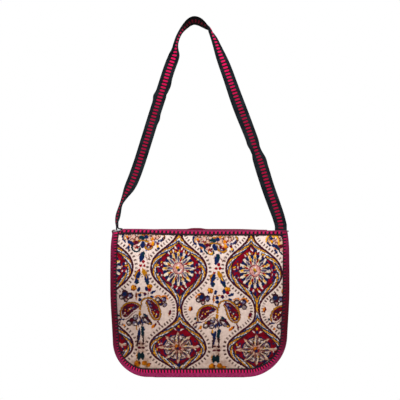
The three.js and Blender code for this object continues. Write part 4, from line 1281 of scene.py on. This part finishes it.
def ribbonTop():
    bm, share, section = clothGrid(ribbon["topSteps"], ribbon["acrossSteps"])
    inset, height, across = ribbonSection(section)
    toSide = 2 * share - 1
    drop = inset * topShareAt(toSide * topEdgeHalf(toSide, inset))
    side = toSide * (flapHalf(drop) - inset * sideShareAt(toSide, drop))
    crest = (1 - smoothStep(inset, *ribbon["crestInset"])) * smoothStep(height, *ribbon["crestHeight"])
    places = flapAt(side, drop, height + ribbon["topCrest"] * crest)
    across = np.where(across > 0, bandPlace(across, "topMap"), across)
    layCloth(bm, places, (side + ribbon["topShift"]) / ribbon["topPitch"], across)
    turnTo(bm, y=-16, drop=4, way=(0, -1, 0))
    return bm


def ribbonSides():
    bm, share, section = clothGrid(ribbon["sideSteps"], ribbon["acrossSteps"])
    inset, height, across = ribbonSection(section)
    bottomHalf = float(flapHalf(np.array(flap["drop"])))
    cornerSaves = 2 - math.pi / 2  # of its radius, a rounded corner against a square one
    leftRun, rightRun = (flap["drop"] + bottomHalf - float(cornerAt(way)) * cornerSaves for way in (-1, 1))
    total = leftRun + rightRun
    far = share * total
    way = np.where(far < leftRun, -1.0, 1.0)
    run = np.where(far < leftRun, far, total - far)
    corner = cornerAt(way)
    straight, arc = flap["drop"] - corner, corner * math.pi / 2
    onBottom = run > straight + arc
    inCorner = (run > straight) & ~onBottom
    begin = inset * topShareAt(way * topEdgeHalf(way, inset))
    sideDrop = np.where(run < ribbon["mitre"], lerp(begin, ribbon["mitre"], run / ribbon["mitre"]), run)
    turn = np.clip((run - straight) / corner, 0, math.pi / 2)
    radius = corner - inset * (1 - (1 - sideShareAt(way, run)) * np.cos(turn) ** 2)
    cornerDrop = straight + radius * np.sin(turn)
    drop = np.where(onBottom, flap["drop"] - inset, np.where(inCorner, cornerDrop, sideDrop))
    cornerSide = flapHalf(drop) - corner + radius * np.cos(turn)
    straightSide = flapHalf(drop) - inset * sideShareAt(way, drop)
    bottomSide = bottomHalf - corner - (run - straight - arc)
    side = way * np.where(onBottom, bottomSide, np.where(inCorner, cornerSide, straightSide))
    along = np.where(way < 0, sideDrop, total - sideDrop)
    nearTop = 1 - smoothStep(run, ribbon["cornerFrom"], ribbon["cornerTo"])
    mapped = lerp(across, bandPlace(across, "cornerMap"), nearTop)
    mapped = lerp(mapped, bandPlace(across, "bottomMap"), smoothStep(turn, *ribbon["bottomTurn"]))
    across = np.where(across > 0, mapped, across)
    layCloth(bm, flapAt(side, drop, height), along / ribbon["sidePitch"], across)
    turnTo(bm, y=-34, drop=flap["drop"] - 6, way=(0, -1, 0))
    return bm


# the painted share of light on the ribbon, from shaded (0) to lit (1), by where each point lies
def paintRibbonLight(spots):
    across, down = spots[:, 0], bag["top"] - spots[:, 2]
    onRight = (across > 0) & (down > nap["rightFrom"]) & (down < nap["rightTo"])
    lit = readTable(nap["down"], np.clip(down, 0, flap["drop"])) - nap["rightLess"] * onRight
    toEnd = flap["halfTop"] - (across - bag["middle"])
    toCorner = 1 - smoothStep(toEnd, nap["cornerFull"], nap["cornerFrom"])
    lit = np.where(down < nap["topDrop"], lerp(nap["top"], nap["corner"], toCorner), lit)
    return np.clip(lit, 0, 1)


def makeRibbon():
    top = toMesh("ribbonTop", ribbonTop())
    bm = ribbonSides()
    joinMesh(bm, top)
    closeSeams(bm)
    piece = addPiece("flap_ribbon", bm, [ribbonWeave], ["flap_binding"], ribbon["wall"])
    keepField(piece, "ribbonLightShade", paintRibbonLight(pointsOf(piece)))
    return piece


# the pouch of pile cloth behind the flap

pouch = {
    "drop": 248, "halfTop": 146.9, "halfLow": 141.5, "narrowFrom": 24, "narrowTo": 62, "corner": 70,
    "frontTop": 18, "gussetTop": 9, "seam": 0.7, "cornerRows": 0.45,
    "restGap": 2.8, "edgeGap": 5.6, "edgeSpan": (8, 44), "topSpan": (30, 66), "sagRounds": 5,
    "dent": 9, "dentFrom": (34, 90), "dentTo": (105, 172),
    "crease": 0.9, "creaseOut": 0.5, "creasePitch": 13, "creaseSlant": 4, "creaseSwell": 47,
    "creaseShift": 0.8,
    "panelColumns": 72, "panelRows": 84, "gussetSteps": 260, "gussetAcross": 22, "gussetMap": 60,
}


def pouchHalf(drop):
    narrowed = smoothStep(drop, pouch["narrowFrom"], pouch["narrowTo"])
    return lerp(pouch["halfTop"], pouch["halfLow"], narrowed)


def frontFace(side, drop):
    half = pouchHalf(drop)
    out = np.maximum(np.abs(side) - (half - pouch["corner"]), 0)
    below = np.maximum(drop - (pouch["drop"] - pouch["corner"]), 0)
    depth = pouch["corner"] - np.hypot(out, below)
    nearEdge = 1 - smoothStep(depth, *pouch["edgeSpan"])
    nearTop = 1 - smoothStep(drop, *pouch["topSpan"])
    behind = lerp(pouch["restGap"], pouch["edgeGap"], np.maximum(nearEdge, nearTop))
    level = drop
    for _ in range(pouch["sagRounds"]):
        level = drop - flapSag(side, level)
    steepDown = (flapFront(side, level + 1) - flapFront(side, level - 1)) / 2
    steepAcross = (flapFront(side + 1, level) - flapFront(side - 1, level)) / 2
    return flapFront(side, level) + behind * np.sqrt(1 + steepDown ** 2 + steepAcross ** 2)


# rows closer together where the lower corners turn
def panelDrops(up, top):
    bend, share = pouch["drop"] - pouch["corner"], pouch["cornerRows"]
    lower = bend + pouch["corner"] * np.sin(np.clip((share - up) / share, 0, 1) * math.pi / 2)
    upper = lerp(bend, top, np.clip((up - share) / (1 - share), 0, 1))
    return np.where(up < share, lower, upper)


def makeFrontPanel():
    bm, share, up = clothGrid(pouch["panelColumns"], pouch["panelRows"])
    drop = panelDrops(up, pouch["frontTop"])
    half = roundedHalf(pouchHalf(drop), pouch["drop"], pouch["corner"], drop, 0)
    side = half * (2 * share - 1)
    places = np.stack([bag["middle"] + side, frontFace(side, drop), bag["top"] - drop], axis=-1)
    layCloth(bm, places, side, drop)
    turnTo(bm, y=-36, drop=120, way=(0, -1, 0))
    return addPiece("front_cloth", bm, [pileCloth], ["front_panel"], bag["wall"])


def gussetDent(drop, share):
    along = smoothStep(drop, *pouch["dentFrom"]) * (1 - smoothStep(drop, *pouch["dentTo"]))
    return pouch["dent"] * along * (1 - (2 * share - 1) ** 2)


def makeGusset():
    bm, share, depth = clothGrid(pouch["gussetSteps"], pouch["gussetAcross"])
    corner = pouch["corner"]
    bend = pouch["drop"] - corner
    straight = bend - pouch["gussetTop"]
    arc = corner * math.pi / 2
    bottomHalf = pouch["halfLow"] - corner
    total = 2 * (straight + arc + bottomHalf)
    far = share * total
    way = np.where(far < total / 2, -1.0, 1.0)
    run = np.minimum(far, total - far)
    turn = np.clip((run - straight) / corner, 0, math.pi / 2)
    drop = np.where(run < straight, pouch["gussetTop"] + run, bend + corner * np.sin(turn))
    onBottom = np.maximum(run - straight - arc, 0)
    half = np.where(run < straight, pouchHalf(drop), bottomHalf + corner * np.cos(turn) - onBottom)
    front = frontFace(way * half, drop) + bag["wall"] + pouch["seam"]
    back = bag["backFace"] - bag["wall"] - bag["gap"]
    softly = np.sin(math.pi * depth)
    folds = np.sin(far / pouch["creasePitch"] + pouch["creaseSlant"] * depth)
    folds = folds * np.sin(far / pouch["creaseSwell"] + pouch["creaseShift"])
    inward = gussetDent(drop, depth) + softly * np.maximum(pouch["crease"] * folds, -pouch["creaseOut"])
    outX, outZ = way * np.cos(turn), np.sin(turn)
    places = np.stack([
        bag["middle"] + way * half - outX * inward,
        lerp(front, back, depth),
        bag["top"] - drop + outZ * inward,
    ], axis=-1)
    layCloth(bm, places, far, depth * pouch["gussetMap"])
    turnTo(bm, y=0, drop=pouch["drop"], way=(0, 0, -1))
    return addPiece("gusset_cloth", bm, [pileCloth], ["gusset"], bag["wall"])


# the back cloth is carried over the top in a soft roll and tucked behind the flap
roll = {
    "half": 114, "shoulderFrom": 23, "shoulderTo": 8,
    "middleY": 12, "middleDrop": 11, "deep": 18, "high": 13.8, "turn": 108, "waveDrop": 8.0,
    "under": [(0.5, 4.9), (3.5, 4.9), (6.5, 4.5), (10.5, 2.7), (15.5, 2.7)],
    "bumpSide": -6, "bumpReach": 13, "bumpHigh": -1.3, "bumpPower": 4,
    "down": 3.0, "downEnds": 1.3, "endsFrom": 60, "liftFrom": -4, "liftFull": 2,
    "swell": 2.4, "swellInset": (0, 60), "swellDown": (20, 80),
    "crease": 0.7, "creases": [(17, 29, 0), (-63, 41, 0)],
    "columns": 88, "flatRows": 84, "shoulderRows": 10, "rollRows": 18, "behindRows": 10,
}


def backRows():
    rows = []
    for drop in panelDrops(np.linspace(0, 1, roll["flatRows"]), roll["shoulderFrom"]):
        half = roundedHalf(pouchHalf(drop), pouch["drop"], pouch["corner"], drop, 0)
        rows.append((bag["backFace"], bag["top"] - drop, half))
    for drop in np.linspace(roll["shoulderFrom"], roll["middleDrop"], roll["shoulderRows"] + 1)[1:]:
        narrowed = 1 - smoothStep(drop, roll["shoulderTo"], roll["shoulderFrom"])
        rows.append((bag["backFace"], bag["top"] - drop, lerp(pouch["halfTop"], roll["half"], narrowed)))
    for turn in np.radians(np.linspace(0, roll["turn"], roll["rollRows"] + 1))[1:]:
        high = bag["top"] - roll["middleDrop"] + roll["high"] * math.sin(turn)
        rows.append((roll["middleY"] + roll["deep"] * math.cos(turn), high, roll["half"]))
    for drop in np.linspace(roll["under"][0][0], roll["under"][-1][0], roll["behindRows"]):
        place = flapAt(0.0, drop, -float(readTable(roll["under"], drop)))
        rows.append((place[1], place[2], roll["half"]))
    return np.array(rows, float)


def makeBackPanel():
    rows = backRows()
    bm, share, up = clothGrid(roll["columns"], len(rows) - 1)
    row = np.rint(up * (len(rows) - 1)).astype(int)
    y, z, half = rows[row, 0], rows[row, 1], rows[row, 2]
    side = half * (2 * share - 1)
    drop = bag["top"] - z
    level = np.full(len(side), roll["waveDrop"])
    waved = np.where(y < 0, flapFront(side, level) - flapFront(0 * side, level), 0)
    onBack = row < roll["flatRows"]
    inset = np.minimum(half - np.abs(side), pouch["drop"] - drop)
    soft = smoothStep(inset, *roll["swellInset"]) * smoothStep(drop, *roll["swellDown"])
    folds = roll["crease"] * crossWaves(side, drop, roll["creases"])
    swell = np.where(onBack, soft * (roll["swell"] + folds), 0)
    nearBump = np.exp(-((side - roll["bumpSide"]) / roll["bumpReach"]) ** roll["bumpPower"])
    bulge = (roll["bumpHigh"] + roll["down"]) * nearBump - roll["down"]
    bulge = bulge - roll["downEnds"] * smoothStep(np.abs(side), roll["endsFrom"], roll["half"])
    lifted = bulge * smoothStep(z - bag["top"], roll["liftFrom"], roll["liftFull"])
    places = np.stack([bag["middle"] + side, y + waved + swell, z + lifted], axis=-1)
    layCloth(bm, places, side, drop)
    turnTo(bm, y=bag["backFace"], drop=120, way=(0, 1, 0))
    return addPiece("back_cloth", bm, [pileCloth], ["back_panel"], bag["wall"])


# the woven strap, one length from ring to ring

strap = {
    "width": 20, "cloth": 1.6, "step": 1.2, "acrossSteps": 16, "crown": 0.25,
    "lineSteps": 8, "ringSteps": 14,
    "tailTop": -339, "tailBend": 2.8, "tailTurn": (205, 270), "tailSteps": 5, "mainBend": 4, "mainSteps": 8,
    "rightLegs": (-350, -353), "rightTail": [(3.2, 2.5), (1, 7), (0, 9.5), (0, 12)],
    "apexShadeDown": (-50, -30), "apexShadeLeft": (-27, -14), "apexShadeRight": (21, 26),
}

# small bulges and nicks in the strap's edges: height, half it is on, which edge, reach along and amount out
strapNicks = [
    (-129, -1, 1, 6, 2.0), (-107, -1, -1, 9, 1.6), (-122, -1, -1, 3, -0.8), (-164, -1, -1, 6, 1.4),
    (-208, 1, 1, 6, 0.8), (-223, 1, 1, 4, -1.0), (-236, 1, -1, 7, 1.0), (-150, 1, 1, 42, 2.4),
    (-250, 1, 1, 34, 2.6), (-305, 1, 1, 34, 1.9),
]

# where the strap curls across its width: x, z, reach and amount outward
strapCurls = [(24, -13.5, 10, -4.2)]

# middle line from the left ring over the hanging point to the right ring: x, y, z and twist in degrees
strapRun = [
    (-131.5, 8, -341, 77), (-130.1, 8, -335, 69), (-128.4, 8, -327, 67), (-123.7, 8, -310, 75),
    (-117, 8, -296, 59), (-109.8, 8, -282.5, 30), (-103.3, 7, -269, 12), (-93.4, 7, -242, 3),
    (-80.4, 6, -201, -4), (-67.8, 5, -160.5, 4), (-54.6, 4, -120, -2), (-41.4, 2, -79.5, -6),
    (-33.8, 1, -59, -27), (-31.9, 0, -49, -58), (-30.6, 0, -39, -71), (-27.6, 0, -28.7, -75),
    (-22.6, 0, -18.6, -75), (-14.8, 0, -8.8, -67), (-6.9, 0, -1.8, -58), (0.4, 0, 0.8, -54),
    (8.8, 0, -1.3, -57), (18.4, 0, -8.2, -71), (22.8, 0, -12.8, -85), (26.6, 0, -17, -104),
    (33.4, 0, -28.7, -120), (39.6, 0, -44, -132), (45.4, 0, -59.2, -148), (53.5, 1, -79.5, -168),
    (68.4, 2, -119.7, -178),
    (83.9, 2, -160.3, -184), (99, 3, -201, -174), (104.2, 3, -216.3, -146), (114.2, 4, -241.7, -174),
    (127, 5, -282.6, -182), (136.6, 5, -309.8, -180), (143.4, 5.3, -330, -180), (147.2, 5.3, -345, -180),
]

ring = {
    "wire": 1.6, "corner": 2, "cornerShare": 0.6, "across": 12, "steps": 104, "round": 14,
    "leftOuter": (-136, -356.4), "leftInner": (-124, -354.4), "leftY": 8,
    "rightX": 147.5, "rightZ": -356, "rightStrapY": 8, "rightTabY": 20, "map": (60, 10),
}


def arcPlaces(centre, radius, fromTurn, toTurn, count):
    turns = np.radians(np.linspace(fromTurn, toTurn, count + 1))
    return [(centre[0] + radius * math.cos(t), centre[1] + radius * math.sin(t)) for t in turns]


# a line eased through its points, spaced by the root of their distances
def easedLine(points, perRow):
    points = np.asarray(points, float)
    rows = np.vstack([2 * points[0] - points[1], points, 2 * points[-1] - points[-2]])
    line = []
    for k in range(1, len(rows) - 2):
        before, here, there, after = rows[k - 1:k + 3]
        first, span, last = (
            math.sqrt(np.linalg.norm(b - a)) for a, b in ((before, here), (here, there), (there, after)))
        straight = (there - here) / span
        lead = span * ((here - before) / first - (there - before) / (first + span) + straight)
        trail = span * (straight - (after - here) / (span + last) + (after - there) / last)
        for share in np.arange(perRow) / perRow:
            place = lerp(here, there, share * share * (3 - 2 * share))
            line.append(place + share * (1 - share) ** 2 * lead + share ** 2 * (share - 1) * trail)
    line.append(rows[-2])
    return np.array(line)


# middle line and width direction, with the ends turned round the rings and sewn back
def strapStations():
    bend = ring["wire"] + bag["gap"] + strap["cloth"] / 2
    sewn = strap["cloth"] + bag["gap"]
    inner, main = ring["leftInner"], strapRun[0][0]
    tail, tailBend, mainBend = main + sewn, strap["tailBend"], strap["mainBend"]
    turnZ, under = inner[1] + bend + tailBend, inner[1] - bend
    leftEnd = [
        (tail, strap["tailTop"]), (tail, turnZ),
        *arcPlaces((tail + tailBend, turnZ), tailBend, *strap["tailTurn"], strap["tailSteps"]),
        *arcPlaces(inner, bend, 90, -90, strap["ringSteps"]),
        *arcPlaces((main + mainBend, under + mainBend), mainBend, 270, 180, strap["mainSteps"]),
    ]
    front = ring["rightStrapY"] - bend
    rightEnd = [
        *[(front, z) for z in strap["rightLegs"]],
        *arcPlaces((ring["rightStrapY"], ring["rightZ"]), bend, 180, 360, strap["ringSteps"]),
        *[(front + sewn + out, ring["rightZ"] + up) for out, up in strap["rightTail"]],
    ]
    line = easedLine([row[:3] for row in strapRun], strap["lineSteps"])
    ways = np.gradient(line, axis=0)
    inPlane = np.stack([-ways[:, 2], 0 * ways[:, 1], ways[:, 0]], axis=-1)
    inPlane /= np.linalg.norm(inPlane, axis=1, keepdims=True)
    turns = [(k, row[3]) for k, row in enumerate(strapRun)]
    twists = np.radians(readTable(turns, np.arange(len(line)) / strap["lineSteps"]))[:, None]
    across = inPlane * np.cos(twists) + np.array([0, 1, 0]) * np.sin(twists)
    leftPlaces = [(x, ring["leftY"], z) for x, z in leftEnd]
    rightPlaces = [(ring["rightX"], y, z) for y, z in rightEnd]
    sideways = np.vstack([[(0, 1, 0)] * len(leftEnd), across, [(-1, 0, 0)] * len(rightEnd)])
    return np.vstack([leftPlaces, line, rightPlaces]), sideways


# even stations along a band, with its way, width direction and thickness direction
def evenBand(places, sideways, step):
    lengths = np.linalg.norm(np.diff(places, axis=0), axis=1)
    far = np.concatenate([[0], np.cumsum(lengths)])
    kept = np.concatenate([[True], lengths > 1e-6])
    far, places, sideways = far[kept], places[kept], sideways[kept]
    count = int(far[-1] / step)
    at = np.linspace(0, far[-1], count + 1)
    place = np.stack([np.interp(at, far, places[:, k]) for k in range(3)], axis=-1)
    across = np.stack([np.interp(at, far, sideways[:, k]) for k in range(3)], axis=-1)
    way = np.gradient(place, axis=0)
    way /= np.linalg.norm(way, axis=1, keepdims=True)
    across -= way * np.sum(across * way, axis=1, keepdims=True)
    across /= np.linalg.norm(across, axis=1, keepdims=True)
    return at, place, across, np.cross(way, across)


def makeBand(name, places, sideways, band, width, look, slot, node, nicks=(), curls=()):
    at, place, across, through = evenBand(places, sideways, band["step"])
    bm, share, over = clothGrid(len(at) - 1, band["acrossSteps"])
    row = np.rint(share * (len(at) - 1)).astype(int)
    x, z = place[row, 0], place[row, 2]
    toEdge = 2 * over - 1
    curl = np.full(len(row), band["crown"])
    for curlX, curlZ, reach, amount in curls:
        curl += amount * np.exp(-((x - curlX) ** 2 + (z - curlZ) ** 2) / reach ** 2)
    spread = np.zeros(len(row))
    for height, half, edge, reach, amount in nicks:
        near = np.exp(-((z - height) / reach) ** 2) * (x * half > 0)
        spread += amount * near * edge * np.maximum(edge * toEdge, 0) ** 2
    aside = toEdge * width / 2
    lift = through[row] * (curl * (1 - toEdge ** 2))[:, None]
    layCloth(bm, place[row] + across[row] * (aside + spread)[:, None] + lift, at[row], aside)
    bm.normal_update()
    return addPiece(name, bm, [look], [node], band["cloth"], 0)


def makeStrap():
    piece = makeBand("strap_band", *strapStations(), strap, strap["width"], strapWeave, "strap_weave",
                     "strap", strapNicks, strapCurls)
    # painted shade: the share that darkens the strap's top stretch round the hanging point
    x, _, z = pointsOf(piece).T
    beside = smoothStep(x, *strap["apexShadeLeft"]) * (1 - smoothStep(x, *strap["apexShadeRight"]))
    keepField(piece, "apexShade", smoothStep(z, *strap["apexShadeDown"]) * beside)


# rings bent from round wire

def makeRing(name, node, centre, first, second, firstHalf, secondHalf):
    bm, share, around = clothGrid(ring["steps"], ring["round"])
    centre, first, second = (np.asarray(v, float) for v in (centre, first, second))
    perCorner, bent = ring["steps"] // 4, ring["cornerShare"]
    step = np.rint(share * ring["steps"]).astype(int) % ring["steps"]
    corner, done = step // perCorner, step % perCorner / perCorner
    turn = math.pi / 2 * (corner + np.minimum(done / bent, 1))
    onSide = np.maximum(done - bent, 0) / (1 - bent)
    signs = np.array([(1, 1), (-1, 1), (-1, -1), (1, -1), (1, 1)])
    reach = np.array([firstHalf, secondHalf]) - ring["corner"]
    spot = lerp(signs[corner], signs[corner + 1], onSide[:, None]) * reach
    outward = first * np.cos(turn)[:, None] + second * np.sin(turn)[:, None]
    middle = centre + first * spot[:, :1] + second * spot[:, 1:] + outward * ring["corner"]
    angle = 2 * math.pi * around[:, None]
    places = middle + ring["wire"] * (outward * np.cos(angle) + np.cross(first, second) * np.sin(angle))
    layCloth(bm, places, share * ring["map"][0], around * ring["map"][1])
    closeSeams(bm)
    bmesh.ops.recalc_face_normals(bm, faces=bm.faces[:])
    return addPiece(name, bm, [ringMetal], [node])


def makeRings():
    outer, inner = (np.array([x, ring["leftY"], z]) for x, z in (ring["leftOuter"], ring["leftInner"]))
    half = np.linalg.norm(inner - outer) / 2
    slope = (inner - outer) / (2 * half)
    makeRing("ring_left_wire", "ring_left", (outer + inner) / 2, slope, (0, 1, 0), half, ring["across"])
    strapY, tabY = ring["rightStrapY"], ring["rightTabY"]
    middle = (ring["rightX"], (strapY + tabY) / 2, ring["rightZ"])
    deep = (tabY - strapY) / 2
    makeRing("ring_right_wire", "ring_right", middle, (1, 0, 0), (0, 1, 0), ring["across"], deep)


# folded tabs that hold the rings

tab = {
    "cloth": 1.2, "step": 0.9, "acrossSteps": 14, "crown": 0.0,
    "leftWidth": 20, "leftEnd": -374.5, "leftUnder": 0.6, "leftTurn": (200, -20, 18),
    "rightFrom": 138, "rightTo": 152, "rightEnd": -392, "rightTurn": (40, 220, 16),
    # bends of the right tab's legs: off the leg and up from the ring
    "backBend": [(0, -13), (-0.8, -9)], "frontBend": [(-1.6, -10.5), (0, -15)],
}


def makeTab(name, node, places, sideways, width):
    makeBand(name, np.array(places), np.array([sideways] * len(places), float), tab, width, pileCloth,
             "pile_cloth", node)


def makeTabs():
    half, gap = tab["cloth"] / 2, bag["gap"]
    bend = ring["wire"] + gap + half

    # astride the gusset's top edge
    edge = bag["middle"] - pouch["halfTop"]
    outerLeg, innerLeg = edge - gap - half, edge + bag["wall"] + gap + half
    legTop = ring["leftOuter"][1] - bend - tab["leftUnder"]
    left = [(outerLeg, tab["leftEnd"]), (outerLeg, legTop),
            *arcPlaces(ring["leftOuter"], bend, *tab["leftTurn"]),
            (innerLeg, legTop), (innerLeg, tab["leftEnd"])]
    places = [(x, ring["leftY"], z) for x, z in left]
    makeTab("tab_left_cloth", "ring_tab_left", places, (0, 1, 0), tab["leftWidth"])

    # inside the back
    z = ring["rightZ"]
    backLeg = bag["backFace"] - bag["wall"] - gap - half
    frontLeg = backLeg - tab["cloth"] - gap
    right = [(backLeg, tab["rightEnd"]), *[(backLeg + out, z + up) for out, up in tab["backBend"]],
             *arcPlaces((ring["rightTabY"], z), bend, *tab["rightTurn"]),
             *[(frontLeg + out, z + up) for out, up in tab["frontBend"]], (frontLeg, tab["rightEnd"])]
    middle = (tab["rightFrom"] + tab["rightTo"]) / 2
    places = [(middle, y, height) for y, height in right]
    makeTab("tab_right_cloth", "ring_tab_right", places, (1, 0, 0), tab["rightTo"] - tab["rightFrom"])


flapPiece = makeFlap()
print("flap printed:", len(flapPiece.data.polygons), "faces")
ribbonPiece = makeRibbon()
frontPiece = makeFrontPanel()
makeGusset()
backPiece = makeBackPanel()
print("pouch made")
makeStrap()
makeRings()
makeTabs()
print("strap, rings and tabs made")


# camera, light and floor

studio = {
    "cameraX": 10.2, "cameraZ": -303, "planeY": -36, "away": 2400, "frameWide": 666.8, "sensor": 36,
    "floorZ": -1.6, "floorReach": 6.4, "floorSides": 96, "floorTints": [(246, 246, 246), (238, 238, 238)],
    "floorGrain": 3, "floorRough": 0.9, "skySpan": (-0.3, 0.7, 0.3, 0.95), "aim": (0.01, 0, -0.42),
    # place, size and power of each light
    "lights": {
        "key": ((-0.45, -1.5, 1.1), 1.0, 33), "fill": ((1.5, -1.9, -0.1), 1.4, 9),
        "rear": ((0.3, 1.8, 0.6), 1.4, 16),
    },
}


def makeCamera():
    data = bpy.data.cameras.new("camera")
    data.sensor_width = studio["sensor"]
    data.lens = studio["sensor"] * studio["away"] / studio["frameWide"]
    camera = bpy.data.objects.new("camera", data)
    camera.location = Vector((studio["cameraX"], studio["planeY"] - studio["away"], studio["cameraZ"])) * mm
    camera.rotation_euler = (math.pi / 2, 0, 0)
    scene.collection.objects.link(camera)
    scene.camera = camera


def addLight(name, place, size, power):
    data = bpy.data.lights.new(name, "AREA")
    data.size = size
    data.energy = power
    light = bpy.data.objects.new(name, data)
    light.location = place
    light.rotation_euler = (Vector(studio["aim"]) - Vector(place)).to_track_quat("-Z", "Y").to_euler()
    scene.collection.objects.link(light)


# white to the camera, and a soft sky to everything else
def makeSky():
    world = bpy.data.worlds.new("studio")
    scene.world = world
    world.use_nodes = True
    tree = world.node_tree
    backdrop = tree.nodes["Background"]
    seen = tree.nodes.new("ShaderNodeLightPath").outputs["Is Camera Ray"]
    way = tree.nodes.new("ShaderNodeTexCoord").outputs["Generated"]
    sky = ramp(tree, heightOf(tree, way), *studio["skySpan"])
    backdrop.inputs["Color"].default_value = (1, 1, 1, 1)
    feed(tree, backdrop.inputs["Strength"], sums(tree, "MAXIMUM", seen, sky))


def makeFloor():
    bm = bmesh.new()
    bmesh.ops.create_circle(bm, cap_ends=True, segments=studio["floorSides"], radius=studio["floorReach"],
                            matrix=Matrix.Translation((0, 0, studio["floorZ"])))
    mesh = toMesh("floor", bm)
    look, tree, shader = newLook("floor_paper")
    colour = mixed(tree, noise(tree, objectPlace(tree), studio["floorGrain"]), *studio["floorTints"])
    feed(tree, shader.inputs["Base Color"], colour)
    feed(tree, shader.inputs["Roughness"], studio["floorRough"])
    mesh.materials.append(look)
    floor = bpy.data.objects.new("floor", mesh)
    scene.collection.objects.link(floor)


makeCamera()
for name, (place, size, power) in studio["lights"].items():
    addLight(name, place, size, power)
makeSky()
makeFloor()
scene.view_settings.view_transform = "Standard"
print("camera and studio set")
